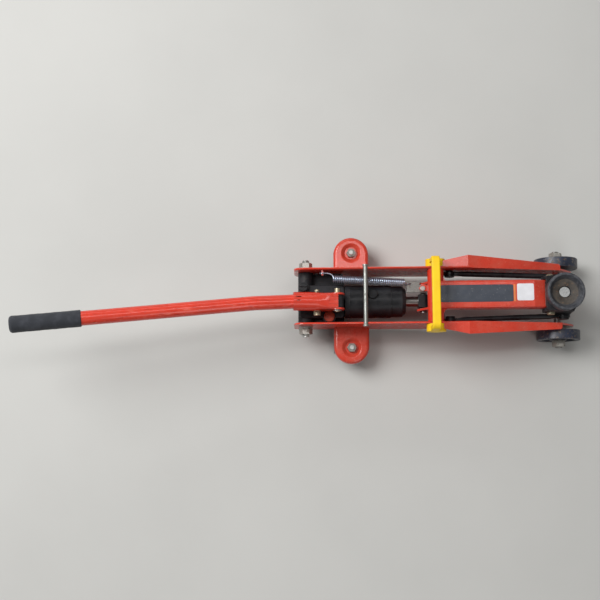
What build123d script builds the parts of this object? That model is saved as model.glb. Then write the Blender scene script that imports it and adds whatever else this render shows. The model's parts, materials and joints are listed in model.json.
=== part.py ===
from build123d import *
import math
import os

# A small two-tonne hydraulic trolley jack, lowered, with its handle in the socket.
# Lengths are millimetres and angles are degrees. +X is forward, +Y is the jack's left, +Z is up
# and Z = 0 is the floor. A station is a distance forward of the side plates' rear ends.

# Clearances
running_gap = 0.05
side_gap = 0.3
loose_gap = 1.0

# Side plates and their outward top flange
plate_gap = 82.0
plate_thickness = 3.0
plate_bottom = 16.0
plate_rear_rise = 29.0
plate_rear_radius = 16.0
plate_dip_setback = 35.0
flange_start_ahead = 7.0
flange_start_rise = 12.0
flange_start_reach = 52.0
flange_kink_ahead = 49.0
flange_kink_rise = 2.5
flange_kink_reach = 61.0
flange_end_setback = 3.0
flange_end_rise = 7.0
flange_end_reach = 51.0
flange_corner = 4.0
bend_radius = 2.6
nose_radius = 24.0

# Front axle and wheels
wheelbase_ahead = 201.0
axle_radius = 6.0
axle_end_reach = 77.5
wheel_radius = 34.0
wheel_width = 15.6
wheel_hub_radius = 13.0
wheel_rim_depth = 8.0
wheel_dish_depth = 3.5
wheel_edge = 0.8
spacer_radius = 10.0
spacer_length = 5.1
large_nut_flats = 18.0
large_nut_height = 10.0
nut_bevel = 30.0

# Rear casters and their brackets
caster_station = 91.0
caster_setback = 25.5
bracket_reach = 101.5
bracket_width = 56.0
bracket_skirt = 14.0
bracket_sheet = 3.0
bracket_edge_radius = 6.0
dimple_depth = 4.0
dimple_rim_radius = 15.5
dimple_floor_radius = 9.8
dimple_rounding = 2.5
caster_bolt_radius = 4.0
caster_bolt_head_radius = 7.0
caster_bolt_head_height = 3.2
caster_head_gap = 1.1
small_nut_flats = 13.0
small_nut_height = 6.5
thread_proud = 2.0
washer_radius = 11.0
washer_height = 2.6
caster_plate_radius = 15.0
caster_plate_thickness = 2.5
caster_leg_thickness = 2.5
caster_wheel_radius = 13.5
caster_wheel_width = 14.0
caster_trail = 14.0
caster_axle_radius = 3.0
caster_boss_radius = 6.0

# Tie rod across the plates
tie_station = 110.5
tie_radius = 3.5
tie_end_reach = 48.0
tie_head_radius = 4.6
tie_head_length = 2.5
tie_drop = 1.0

# Power unit: pump block, reservoir and ram
ram_head_gap = 2.5
ram_height = 65.0
block_rear_station = 9.0
block_width = 52.0
block_length = 70.5
block_height = 44.0
block_rise = 7.0
block_corner = 6.0
block_edge = 2.0
foot_side_gap = 1.5
foot_rise = 9.0
foot_height = 17.0
foot_inset = 0.5
stud_ahead = 9.5
stud_fall = 7.0
stud_boss_radius = 12.0
stud_radius = 6.0
stud_depth = 17.0
stud_end_reach = 61.0
stud_washer_radius = 11.0
stud_washer_height = 2.6
seat_length = 6.5
reservoir_radius = 25.7
reservoir_wall = 2.5
reservoir_length = 65.0
gland_radius = 24.6
gland_length = 17.0
gland_nose_length = 6.0
gland_nose_radius = 20.0
gland_spigot_length = 10.0
cylinder_bore = 10.0
cylinder_wall = 3.5
ram_radius = 8.0
piston_ahead = 8.0
piston_length = 14.0
seal_width = 4.0
seal_depth = 2.0
filler_ahead = 36.0
filler_angle = 18.0
filler_radius = 5.5
filler_flange_radius = 7.5
filler_proud = 2.0
release_ahead = 6.0
release_inset = 4.5
release_shank_radius = 4.0
release_head_radius = 6.0
release_head_height = 5.0
release_boss_radius = 8.5
release_boss_height = 3.0
release_depth = 26.0
release_slot_width = 1.8
release_slot_depth = 2.2
overload_setback = 24.5
overload_inset = 2.5
overload_boss_radius = 10.5
overload_boss_depth = 24.0
overload_cap_radius = 8.5
overload_cap_height = 3.0

# Pump yoke, its pins and the plunger
fulcrum_setback = 12.5
fulcrum_offset = 4.0
fulcrum_radius = 4.0
fulcrum_head_radius = 4.6
fulcrum_head_length = 7.0
clip_radius = 6.5
clip_thickness = 1.2
lug_radius = 9.5
lug_width = 18.0
lug_flare = 5.0
yoke_pitch = 5.0
yoke_radius = 14.3
yoke_wall = 2.0
yoke_length = 68.0
yoke_ear_gap = 20.2
yoke_ear_thickness = 2.8
yoke_ear_radius = 11.0
yoke_web_thickness = 2.2
yoke_corner = 5.0
yoke_press_inset = 0.3
press_start = 34.0
press_end = 14.0
flute_radius = 1.6
flute_depth = 0.7
flute_spacing = 5.8
slit_setback = 7.5
slit_offset = 5.7
slit_length = 8.0
slit_width = 1.6
slit_second_length = 5.0
plunger_lever = 31.0
plunger_drop = 13.0
plunger_pin_radius = 4.0
plunger_pin_boss = 7.0
plunger_radius = 7.0
plunger_floor = 3.0
plunger_foot_gap = 2.0
plunger_rest_gap = 1.5
plunger_eye_wall = 3.0
plunger_eye_height = 16.0
plunger_gland_flats = 22.0
plunger_gland_height = 5.5
pin_head_radius = 5.5
pin_head_length = 7.0
pin_tail_length = 6.0
split_pin_radius = 0.9
split_pin_length = 11.0

# Handle
handle_radius = 11.0
handle_wall = 2.0
handle_entry = 23.5
handle_yaw = 2.77
handle_first_length = 72.6
handle_main_yaw = 6.27
handle_main_pitch = 10.5
handle_main_length = 357.0
handle_bend_radius = 120.0
grip_length = 103.0
grip_radius = 12.7
grip_end_wall = 4.0
grip_end_radius = 5.0

# Lift arm, its pivot and the ram linkage
pivot_ahead = 43.4
crank_drop = 27.0
pivot_radius = 8.0
pivot_end_reach = 51.0
pivot_tube_wall = 1.45
arm_sheet = 3.0
arm_half_width = 21.5
arm_length = 176.0
arm_rise = 2.0
arm_crest_setback = 28.5
arm_crest_rise = 21.0
arm_front_radius = 10.0
arm_sheet_setback = 11.0
arm_edge_radius = 3.5
arm_gusset_radius = 5.5
arm_gusset_height = 6.0
crank_angle = 30.0
crank_eye_radius = 11.0
crank_slot_side_play = 1.0
crank_slot_end_play = 0.6
ram_pin_radius = 5.0
ram_pin_end_play = 2.5
ram_head_width = 20.0
ram_head_radius = 10.0
ram_head_neck = 9.0
base_pin_radius = 6.0
base_pin_proud = 4.0

# Carry handle on the pivot shaft's ends
cap_radius = 15.0
cap_length = 12.0
carry_bar_width = 12.4
carry_bar_thickness = 7.0
carry_rise = 43.0
carry_leg_thickness = 7.0
carry_lean = 4.0
carry_corner_radius = 9.0
carry_inner_radius = 4.0

# Saddle, its base and the parallel links
link_offset_forward = 24.0
link_offset_down = 17.0
link_rear_inset = 1.95
link_rod_radius = 4.1
link_eye_radius = 9.5
link_eye_thickness = 5.0
link_flat_end = 9.0
link_taper_length = 12.0
link_pin_radius = 5.0
link_pin_head_radius = 7.5
link_pin_head_height = 2.8
base_cheek_thickness = 4.5
base_pin_boss_radius = 13.0
base_link_boss_radius = 11.0
base_link_boss_proud = 0.8
base_ahead = 32.0
base_rise = 23.5
base_platform = 7.0
base_corner = 4.0
base_stem_radius = 11.0
base_stem_length = 16.0
saddle_ahead = 14.7
saddle_radius = 28.4
saddle_foot_radius = 26.5
saddle_foot_height = 3.0
saddle_height = 17.5
saddle_rim_flat = 2.6
saddle_rim_radius = 21.8
saddle_rim_depth = 4.5
saddle_recess_depth = 8.0
saddle_floor_radius = 19.5
saddle_floor_fall = 2.0
saddle_edge = 1.0
saddle_pin_radius = 6.0
saddle_pin_well_radius = 9.2
saddle_pin_well_depth = 3.4
saddle_pin_head_radius = 8.1
saddle_pin_head_height = 2.0

# Return spring
spring_wire_radius = 1.0
spring_coil_radius = 5.2
spring_turns = 36
spring_rear_station = 61.4
spring_rear_inset = 13.8
spring_rear_fall = 8.0
spring_front_setback = 4.6
spring_front_rise = 2.0
spring_side_gap = 1.6
hook_radius = 3.6
hook_tail = 3.0
gap_steps = 8
tab_station = 44.4
tab_hook_inset = 5.0
tab_width = 3.0
tab_height = 4.0
tab_reach = 8.0
anchor_gland_gap = 1.6
anchor_step_setback = 24.0
anchor_front_setback = 10.0
anchor_inner_side = 12.1
anchor_hole_inset = 2.0
anchor_side = 3.5
anchor_fall = 10.0
anchor_thickness = 3.0
anchor_hole_radius = 2.2
anchor_edge = 2.4
anchor_lug_setback = 25.0
rivet_setback = 19.0
rivet_inset = 6.5
rivet_radius = 2.5
rivet_head_radius = 4.0
rivet_head_height = 1.6

# Worked out from the sizes above: spans across the jack
plate_inner = plate_gap / 2
plate_outer = plate_inner + plate_thickness
arm_web_inner = arm_half_width - arm_sheet
ram_y = -(arm_web_inner - ram_head_width / 2 - ram_head_gap)
block_y_low = ram_y - block_width / 2
block_y_high = ram_y + block_width / 2
release_y = block_y_high - release_inset
overload_y = block_y_low + overload_inset
fulcrum_y = ram_y - fulcrum_offset
yoke_half = yoke_ear_gap / 2 + yoke_ear_thickness
caster_reach = bracket_reach - caster_setback
wheel_inner = plate_outer + spacer_length + side_gap
wheel_outer = wheel_inner + wheel_width
base_cheek_inner = arm_half_width + loose_gap
base_cheek_outer = base_cheek_inner + base_cheek_thickness
base_boss_outer = base_cheek_outer + base_link_boss_proud
link_rear_y = plate_inner - link_rear_inset - link_eye_thickness / 2
link_front_y = base_boss_outer + side_gap + link_eye_thickness / 2
anchor_hole_y = arm_half_width - anchor_hole_inset
anchor_outer_y = anchor_hole_y + anchor_side
anchor_inner_y = arm_web_inner - anchor_inner_side
rivet_y = arm_web_inner - rivet_inset
anchor_lug_inner_y = rivet_y - rivet_head_radius
spring_rear_y = plate_inner - spring_rear_inset
tab_hook_y = plate_inner - tab_hook_inset

# Worked out: heights
axle_height = wheel_radius
pivot_height = ram_height + crank_drop
front_height = pivot_height + arm_rise
arm_crest_height = pivot_height + arm_crest_rise
plate_rear_height = ram_height + plate_rear_rise
flange_start_height = pivot_height + flange_start_rise
flange_kink_height = flange_start_height + flange_kink_rise
flange_end_height = axle_height + wheel_radius + flange_end_rise
block_top = ram_height + block_rise
block_bottom = block_top - block_height
stud_height = ram_height - stud_fall
release_bottom = block_top - release_depth
plunger_well = block_bottom + plunger_floor
plunger_bottom = plunger_well + plunger_foot_gap
plunger_height = block_top + plunger_gland_height + plunger_rest_gap + plunger_eye_height / 2
fulcrum_height = plunger_height + plunger_drop
link_rear_height = pivot_height - link_offset_down
link_front_height = front_height - link_offset_down
base_top = front_height + base_rise
base_stem_bottom = base_top - base_stem_length
saddle_top = base_top + saddle_height
carry_bar_height = pivot_height + carry_rise
anchor_top = pivot_height - anchor_fall
anchor_bottom = anchor_top - anchor_thickness
spring_rear_height = plate_rear_height - spring_rear_fall
spring_front_height = anchor_top + spring_front_rise
caster_head_bottom = 2 * caster_wheel_radius + caster_head_gap
caster_plate_bottom = caster_head_bottom + caster_bolt_head_height + side_gap
caster_plate_top = caster_plate_bottom + caster_plate_thickness
washer_top = caster_plate_top + side_gap + washer_height
dimple_floor = washer_top + bracket_sheet
bracket_top = dimple_floor + dimple_depth

# Worked out: stations, each set off from the piece behind it
seat_station = block_rear_station + block_length
seat_end_station = seat_station + seat_length
stud_station = block_rear_station + stud_ahead
release_station = block_rear_station + release_ahead
overload_station = seat_station - overload_setback
fulcrum_station = seat_station - fulcrum_setback
filler_station = seat_end_station + filler_ahead
piston_rear_station = seat_end_station + piston_ahead
reservoir_end_station = seat_end_station + reservoir_length
gland_shoulder_station = reservoir_end_station + gland_length
gland_end_station = gland_shoulder_station + gland_nose_length
anchor_rear_station = gland_end_station + anchor_gland_gap
spring_front_station = anchor_rear_station - spring_front_setback
pivot_station = anchor_rear_station + pivot_ahead
anchor_step_station = pivot_station - anchor_step_setback
anchor_front_station = pivot_station - anchor_front_setback
anchor_lug_tip_station = pivot_station - anchor_lug_setback
rivet_station = pivot_station - rivet_setback
flange_start_station = pivot_station + flange_start_ahead
flange_kink_station = pivot_station + flange_kink_ahead
link_rear_station = pivot_station + link_offset_forward
axle_station = pivot_station + wheelbase_ahead
plate_dip_station = axle_station - plate_dip_setback
flange_end_station = axle_station - flange_end_setback
front_station = pivot_station + arm_length
arm_crest_station = front_station - arm_crest_setback
arm_sheet_end_station = front_station - arm_sheet_setback
base_rear_station = arm_sheet_end_station
base_front_station = front_station + base_ahead
saddle_station = front_station + saddle_ahead
link_front_station = front_station + link_offset_forward

# Worked out: the pivot, the cranks, the spring's front end and the tie rod
pivot_tube_radius = pivot_radius + running_gap + pivot_tube_wall
arm_wrap_radius = pivot_tube_radius + running_gap + arm_sheet
crank_shift = crank_drop * math.tan(math.radians(crank_angle))
crank_reach = crank_drop / math.cos(math.radians(crank_angle))
ram_pin_station = pivot_station - crank_shift
spring_outer_radius = spring_coil_radius + spring_wire_radius
spring_from_ram = reservoir_radius + spring_outer_radius + spring_side_gap
spring_front_y = ram_y + math.sqrt(spring_from_ram**2 - (spring_front_height - ram_height) ** 2)
tie_height = plate_rear_height - tie_drop + tie_station * (
    flange_start_height - plate_rear_height
) / flange_start_station

SIDES = ((1, "left"), (-1, "right"))


def heading(yaw, pitch):
    """Unit direction that points to the rear, turned right by yaw and raised by pitch."""
    yaw_angle, pitch_angle = math.radians(yaw), math.radians(pitch)
    return Vector(
        -math.cos(pitch_angle) * math.cos(yaw_angle),
        -math.cos(pitch_angle) * math.sin(yaw_angle),
        math.sin(pitch_angle),
    )


# The handle's line, first in stations, sets the middle of the whole jack along X.
socket_line = heading(0, yoke_pitch)
handle_line = heading(handle_yaw, yoke_pitch)
main_line = heading(handle_main_yaw, handle_main_pitch)
socket_reach = yoke_length - handle_entry / 2
main_far = handle_main_length + grip_end_wall
handle_far_station = (
    fulcrum_station
    + socket_line.X * socket_reach
    + handle_line.X * handle_first_length
    + main_line.X * (main_far - grip_end_radius)
    - (grip_radius - grip_end_radius) * math.sqrt(1 - main_line.X**2)
    - grip_end_radius
)
mid_station = (axle_station + wheel_radius + handle_far_station) / 2


def x_at(station):
    """X of a station: the jack's box is centred on X = 0."""
    return station - mid_station


def upright(y):
    """Upright plane at a given Y; its sketch axes are X and Z."""
    return Plane.XZ.offset(-y)


def level(z):
    """Level plane at a given height; its sketch axes are X and Y."""
    return Plane.XY.offset(z)


def across(x):
    """Plane square to X at a given X; its sketch axes are Y and Z."""
    return Plane.YZ.offset(x)


def sided(side, inner, outer):
    """Lowest and highest Y of a span that starts and ends at distances from the middle."""
    return min(side * inner, side * outer), max(side * inner, side * outer)


def cross_bar(station, height, radius, y_low, y_high, mode=Mode.ADD):
    """Round bar, or with SUBTRACT a bore, along Y."""
    with BuildSketch(upright(y_high)) as section:
        with Locations((x_at(station), height)):
            Circle(radius)
    extrude(section.sketch, amount=y_high - y_low, mode=mode)


def post(station, y, radius, z_low, z_high, mode=Mode.ADD):
    """Round post, or with SUBTRACT a bore, along Z."""
    with BuildSketch(level(z_low)) as section:
        with Locations((x_at(station), y)):
            Circle(radius)
    extrude(section.sketch, amount=z_high - z_low, mode=mode)


def turned(axis, plane, profile, mode=Mode.ADD):
    """Solid of revolution of a closed profile drawn on a plane that holds the axis."""
    with BuildSketch(plane) as section:
        with BuildLine():
            Polyline(*profile, close=True)
        make_face()
    revolve(section.sketch, axis=axis, mode=mode)


def nut_rows(flats, low, high):
    """(Radius, distance) corners of the turning that bevels a hexagon's corners at both ends."""
    corner = flats / math.sqrt(3)
    bevel = (corner - flats / 2) * math.tan(math.radians(nut_bevel))
    return (
        (0, low),
        (flats / 2, low),
        (corner, low + bevel),
        (corner, high - bevel),
        (flats / 2, high),
        (0, high),
    )


def cross_nut(station, height, flats, y_low, y_high):
    """Hexagon along Y, flats across, with bevelled corners."""
    with BuildPart() as blank:
        with BuildSketch(upright(y_high)):
            with Locations((x_at(station), height)):
                RegularPolygon(flats / 2, 6, major_radius=False)
        extrude(amount=y_high - y_low)
        profile = [(y, height + radius) for radius, y in nut_rows(flats, y_low, y_high)]
        nut_axis = Axis((x_at(station), 0, height), (0, 1, 0))
        turned(nut_axis, across(x_at(station)), profile, Mode.INTERSECT)
    add(blank.part)


def post_nut(station, y, flats, z_low, z_high):
    """Hexagon along Z, flats across, with bevelled corners."""
    with BuildPart() as blank:
        with BuildSketch(level(z_low)):
            with Locations((x_at(station), y)):
                RegularPolygon(flats / 2, 6, major_radius=False)
        extrude(amount=z_high - z_low)
        profile = [(x_at(station) + radius, z) for radius, z in nut_rows(flats, z_low, z_high)]
        turned(Axis((x_at(station), y, 0), (0, 0, 1)), upright(y), profile, Mode.INTERSECT)
    add(blank.part)


def turned_on_ram(profile, mode=Mode.ADD):
    """Solid turned about the ram's axis from (station, radius) corners."""
    corners = [(x_at(station), ram_height + radius) for station, radius in profile]
    turned(Axis((0, ram_y, ram_height), (1, 0, 0)), upright(ram_y), corners, mode)


def finish(piece, name):
    """Name a finished piece and write it."""
    piece.part.label = name
    export_step(piece.part, f"parts/{name}.step")


os.makedirs("parts", exist_ok=True)

# Side plates: an upright sheet whose top edge folds outward into a flange over the front half.
flange_edge = (
    (flange_start_station, flange_start_height),
    (flange_kink_station, flange_kink_height),
    (flange_end_station, flange_end_height),
)
dip_share = (plate_dip_station - flange_kink_station) / (flange_end_station - flange_kink_station)
dip_height = flange_kink_height + dip_share * (flange_end_height - flange_kink_height)

for side, side_name in SIDES:
    y_low, y_high = sided(side, plate_inner, plate_outer)
    flange_low, flange_high = sided(side, plate_inner, flange_kink_reach)
    with BuildPart() as side_plate:
        with BuildSketch(upright(flange_high)):
            with BuildLine():
                upper = [(x_at(station), height) for station, height in flange_edge]
                lower = [(x, height - plate_thickness) for x, height in reversed(upper)]
                Polyline(*upper, *lower, close=True)
            make_face()
        extrude(amount=flange_high - flange_low)
        with BuildSketch(level(0)) as reach:
            with BuildLine():
                Polyline(
                    (x_at(flange_start_station), side * plate_inner),
                    (x_at(flange_start_station), side * flange_start_reach),
                    (x_at(flange_kink_station), side * flange_kink_reach),
                    (x_at(flange_end_station), side * flange_end_reach),
                    (x_at(flange_end_station), side * plate_inner),
                    close=True,
                )
            make_face()
            front_corners = reach.vertices().group_by(Axis.X)[-1]
            fillet(front_corners.sort_by(lambda corner: abs(corner.Y))[-1], radius=flange_corner)
        extrude(amount=flange_kink_height + loose_gap, mode=Mode.INTERSECT)
        cross_bar(
            pivot_station,
            pivot_height,
            cap_radius + loose_gap,
            flange_low - loose_gap,
            flange_high + loose_gap,
            mode=Mode.SUBTRACT,
        )
        with BuildSketch(upright(y_high)) as outline:
            with BuildLine():
                Polyline(
                    (x_at(0), plate_bottom),
                    (x_at(plate_dip_station), plate_bottom),
                    (x_at(plate_dip_station), dip_height),
                    (x_at(flange_kink_station), flange_kink_height),
                    (x_at(flange_start_station), flange_start_height),
                    (x_at(0), plate_rear_height),
                    close=True,
                )
            make_face()
            fillet(outline.vertices().group_by(Axis.X)[0], radius=plate_rear_radius)
        with BuildSketch(upright(y_high)):
            with BuildLine():
                Polyline(
                    (x_at(plate_dip_station), plate_bottom),
                    (x_at(plate_dip_station), dip_height),
                    (x_at(flange_end_station), flange_end_height),
                )
            with Locations((x_at(axle_station), axle_height)):
                Circle(nose_radius)
            make_hull()
        extrude(amount=plate_thickness)
        fold_edges = side_plate.edges().filter_by(
            lambda edge: abs(edge.center().Y - side * plate_inner) < running_gap
            and edge.center().X > x_at(flange_start_station)
            and edge.center().X < x_at(flange_end_station)
            and edge.center().Z > plate_rear_height - bend_radius
            and abs(edge.tangent_at(0.5).Z) < abs(edge.tangent_at(0.5).X)
        )
        fillet(fold_edges, radius=bend_radius)
        for station, height, radius in (
            (stud_station, stud_height, stud_radius),
            (pivot_station, pivot_height, pivot_radius),
            (link_rear_station, link_rear_height, link_pin_radius),
            (axle_station, axle_height, axle_radius),
            (tie_station, tie_height, tie_radius),
        ):
            cross_bar(
                station,
                height,
                radius + running_gap,
                y_low - loose_gap,
                y_high + loose_gap,
                mode=Mode.SUBTRACT,
            )
        with BuildSketch(upright(y_high + loose_gap)):
            with Locations((x_at(tie_station), tie_height + tie_radius)):
                Rectangle(2 * (tie_radius + running_gap), 2 * tie_radius)
        extrude(amount=plate_thickness + 2 * loose_gap, mode=Mode.SUBTRACT)
        if side > 0:
            with BuildSketch(upright(plate_inner)):
                with Locations((x_at(tab_station), spring_rear_height)):
                    Rectangle(tab_width, tab_height)
            extrude(amount=tab_reach)
    finish(side_plate, f"side_plate_{side_name}")

# Caster brackets: round-ended pressings with a skirt and a dimple under the bolt's nut.
for side, side_name in SIDES:
    end_y = bracket_reach - bracket_width / 2
    with BuildPart() as bracket:
        with BuildSketch(level(bracket_top - bracket_skirt)):
            with Locations((x_at(caster_station), side * (plate_outer + end_y) / 2)):
                Rectangle(bracket_width, end_y - plate_outer)
            with Locations((x_at(caster_station), side * end_y)):
                Circle(bracket_width / 2)
        extrude(amount=bracket_skirt)
        rim = bracket.faces().sort_by(Axis.Z)[-1].edges()
        rim = rim.filter_by(lambda edge: abs(edge.center().Y) > plate_outer + running_gap)
        fillet(rim, radius=bracket_edge_radius)
        underside = bracket.faces().sort_by(Axis.Z)[0]
        root_face = bracket.faces().sort_by(lambda face: abs(face.center().Y))[0]
        offset(amount=-bracket_sheet, openings=[underside, root_face])
        with Locations((x_at(caster_station), side * caster_reach, dimple_floor - bracket_sheet)):
            Cone(
                dimple_floor_radius + bracket_sheet / 2,
                dimple_rim_radius + bracket_sheet / 2,
                dimple_depth,
                align=(Align.CENTER, Align.CENTER, Align.MIN),
            )
        with Locations((x_at(caster_station), side * caster_reach, dimple_floor)):
            Cone(
                dimple_floor_radius,
                dimple_rim_radius,
                dimple_depth,
                align=(Align.CENTER, Align.CENTER, Align.MIN),
                mode=Mode.SUBTRACT,
            )
        top_edges = bracket.faces().filter_by(Axis.Z).sort_by(Axis.Z)[-1].edges()
        fillet(top_edges.filter_by(GeomType.CIRCLE).sort_by(Edge.radius)[0], radius=dimple_rounding)
        post(
            caster_station,
            side * caster_reach,
            caster_bolt_radius + running_gap,
            washer_top - loose_gap,
            bracket_top,
            mode=Mode.SUBTRACT,
        )
    finish(bracket, f"caster_bracket_{side_name}")

# Tie rod with a riveted head outside each plate.
with BuildPart() as tie_rod:
    cross_bar(tie_station, tie_height, tie_radius, -tie_end_reach, tie_end_reach)
    for side, side_name in SIDES:
        y_low, y_high = sided(side, tie_end_reach - tie_head_length, tie_end_reach)
        cross_bar(tie_station, tie_height, tie_head_radius, y_low, y_high)
finish(tie_rod, "tie_rod")

# Pump block: a casting with a broad foot, a cross boss for its studs, the yoke's lug and the
# reservoir's seat.
plunger_station = fulcrum_station - plunger_lever
plunger_swing = math.hypot(plunger_lever, plunger_drop)
plunger_drift = plunger_swing - plunger_lever
plunger_axis_station = plunger_station - plunger_drift / 2

with BuildPart() as pump_block:
    with BuildSketch(level(block_bottom)):
        with Locations((x_at((block_rear_station + seat_station) / 2), ram_y)):
            Rectangle(seat_station - block_rear_station, block_width)
    extrude(amount=block_top - block_bottom)
    fillet(pump_block.edges().filter_by(Axis.Z), radius=block_corner)
    fillet(pump_block.faces().sort_by(Axis.Z)[-1].edges(), radius=block_edge)
    with BuildSketch(across(x_at(seat_station))):
        with Locations((ram_y, ram_height)):
            Circle(reservoir_radius)
    extrude(amount=seat_length)
    with BuildSketch(across(x_at(seat_station - seat_length))):
        with Locations((ram_y, (block_bottom + block_top) / 2)):
            Rectangle(block_width - 2 * block_corner, block_top - block_bottom - 2 * block_edge)
    extrude(amount=seat_length)
    with BuildSketch(level(block_bottom + foot_rise)):
        with Locations((x_at((block_rear_station + seat_station) / 2), 0)):
            foot_length = seat_station - block_rear_station - 2 * foot_inset
            RectangleRounded(foot_length, 2 * (plate_inner - foot_side_gap), block_corner)
    extrude(amount=foot_height)
    cross_bar(stud_station, stud_height, stud_boss_radius, -plate_inner, plate_inner)
    with BuildSketch(upright(fulcrum_y + lug_width / 2)):
        with BuildLine():
            Line(
                (x_at(fulcrum_station - lug_radius - lug_flare), block_top - block_edge),
                (x_at(fulcrum_station + lug_radius), block_top - block_edge),
            )
        with Locations((x_at(fulcrum_station), fulcrum_height)):
            Circle(lug_radius)
        make_hull()
    extrude(amount=lug_width)
    release_boss_top = block_top + release_boss_height
    post(release_station, release_y, release_boss_radius, stud_height, release_boss_top)
    post(
        overload_station,
        overload_y,
        overload_boss_radius,
        block_top - overload_boss_depth,
        block_top,
    )
    cross_bar(
        fulcrum_station,
        fulcrum_height,
        fulcrum_radius + running_gap,
        fulcrum_y - lug_width,
        fulcrum_y + lug_width,
        mode=Mode.SUBTRACT,
    )
    post(
        plunger_axis_station,
        fulcrum_y,
        plunger_radius + running_gap,
        plunger_well,
        block_top,
        mode=Mode.SUBTRACT,
    )
    post(
        release_station,
        release_y,
        release_shank_radius + running_gap,
        release_bottom - loose_gap,
        release_boss_top,
        mode=Mode.SUBTRACT,
    )
    for side, side_name in SIDES:
        y_low, y_high = sided(side, plate_inner - stud_depth, plate_inner + loose_gap)
        cross_bar(
            stud_station, stud_height, stud_radius + running_gap, y_low, y_high, mode=Mode.SUBTRACT
        )
finish(pump_block, "pump_block")

# Studs, washers and nuts that hold the power unit between the plates.
with BuildPart() as pump_studs:
    for side, side_name in SIDES:
        y_low, y_high = sided(side, plate_inner - stud_depth, stud_end_reach)
        cross_bar(stud_station, stud_height, stud_radius, y_low, y_high)
finish(pump_studs, "pump_studs")

washer_end = plate_outer + stud_washer_height
with BuildPart() as stud_washers:
    for side, side_name in SIDES:
        y_low, y_high = sided(side, plate_outer, washer_end)
        cross_bar(stud_station, stud_height, stud_washer_radius, y_low, y_high)
        cross_bar(
            stud_station, stud_height, stud_radius + running_gap, y_low, y_high, mode=Mode.SUBTRACT
        )
finish(stud_washers, "stud_washers")

with BuildPart() as stud_nuts:
    for side, side_name in SIDES:
        y_low, y_high = sided(side, washer_end, washer_end + large_nut_height)
        cross_nut(stud_station, stud_height, large_nut_flats, y_low, y_high)
        cross_bar(
            stud_station, stud_height, stud_radius + running_gap, y_low, y_high, mode=Mode.SUBTRACT
        )
finish(stud_nuts, "stud_nuts")

# Reservoir tube, with the filler hole on its shoulder, and the gland cap at its front.
filler_turn = math.radians(filler_angle)
filler_out = Vector(0, math.sin(filler_turn), math.cos(filler_turn))
filler_foot = Vector(x_at(filler_station), ram_y, ram_height)
filler_plane = Plane(
    origin=filler_foot + filler_out * (reservoir_radius - reservoir_wall),
    x_dir=(1, 0, 0),
    z_dir=filler_out,
)

with BuildPart() as reservoir_tube:
    turned_on_ram(
        (
            (seat_end_station, reservoir_radius - reservoir_wall),
            (seat_end_station, reservoir_radius),
            (reservoir_end_station, reservoir_radius),
            (reservoir_end_station, reservoir_radius - reservoir_wall),
        )
    )
    with BuildSketch(filler_plane.offset(-reservoir_wall)):
        Circle(filler_radius + running_gap)
    extrude(amount=3 * reservoir_wall, mode=Mode.SUBTRACT)
finish(reservoir_tube, "reservoir_tube")

with BuildPart() as filler_plug:
    with BuildSketch(filler_plane):
        Circle(filler_radius)
    extrude(amount=reservoir_wall + filler_proud)
    with BuildSketch(filler_plane.offset(reservoir_wall + filler_proud)):
        Circle(filler_flange_radius)
    extrude(amount=filler_proud)
    fillet(filler_plug.edges().sort_by(lambda edge: edge.center().Z)[-1], radius=filler_proud / 2)
finish(filler_plug, "filler_plug")

gland_bore = ram_radius + running_gap
with BuildPart() as gland_cap:
    turned_on_ram(
        (
            (reservoir_end_station - gland_spigot_length, gland_bore),
            (
                reservoir_end_station - gland_spigot_length,
                reservoir_radius - reservoir_wall - running_gap,
            ),
            (reservoir_end_station, reservoir_radius - reservoir_wall - running_gap),
            (reservoir_end_station, gland_radius),
            (gland_shoulder_station, gland_radius),
            (gland_end_station, gland_nose_radius),
            (gland_end_station, gland_bore),
        )
    )
finish(gland_cap, "gland_cap")

cylinder_inner = cylinder_bore + running_gap
with BuildPart() as pressure_cylinder:
    turned_on_ram(
        (
            (seat_end_station, cylinder_inner),
            (seat_end_station, cylinder_inner + cylinder_wall),
            (reservoir_end_station - gland_spigot_length, cylinder_inner + cylinder_wall),
            (reservoir_end_station - gland_spigot_length, cylinder_inner),
        )
    )
finish(pressure_cylinder, "pressure_cylinder")

# Overload valve's cap, pressed on the block's side boss.
with BuildPart() as overload_cap:
    post(
        overload_station,
        overload_y,
        overload_cap_radius,
        block_top,
        block_top + overload_cap_height,
    )
    fillet(overload_cap.faces().sort_by(Axis.Z)[-1].edges(), radius=overload_cap_height / 3)
finish(overload_cap, "overload_cap")

# Release valve screw: a slotted head over a shank with a cone that closes the oil way.
release_head_bottom = release_boss_top + side_gap
release_head_top = release_head_bottom + release_head_height
with BuildPart() as release_screw:
    turned(
        Axis((x_at(release_station), release_y, 0), (0, 0, 1)),
        upright(release_y),
        (
            (x_at(release_station), release_bottom),
            (x_at(release_station) + release_shank_radius, release_bottom + release_shank_radius),
            (x_at(release_station) + release_shank_radius, release_head_bottom),
            (x_at(release_station) + release_head_radius, release_head_bottom),
            (x_at(release_station) + release_head_radius, release_head_top),
            (x_at(release_station), release_head_top),
        ),
    )
    with BuildSketch(level(release_head_top - release_slot_depth)):
        with Locations((x_at(release_station), release_y)):
            Rectangle(2 * release_head_radius, release_slot_width)
    extrude(amount=release_slot_depth, mode=Mode.SUBTRACT)
finish(release_screw, "release_screw")

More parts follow.
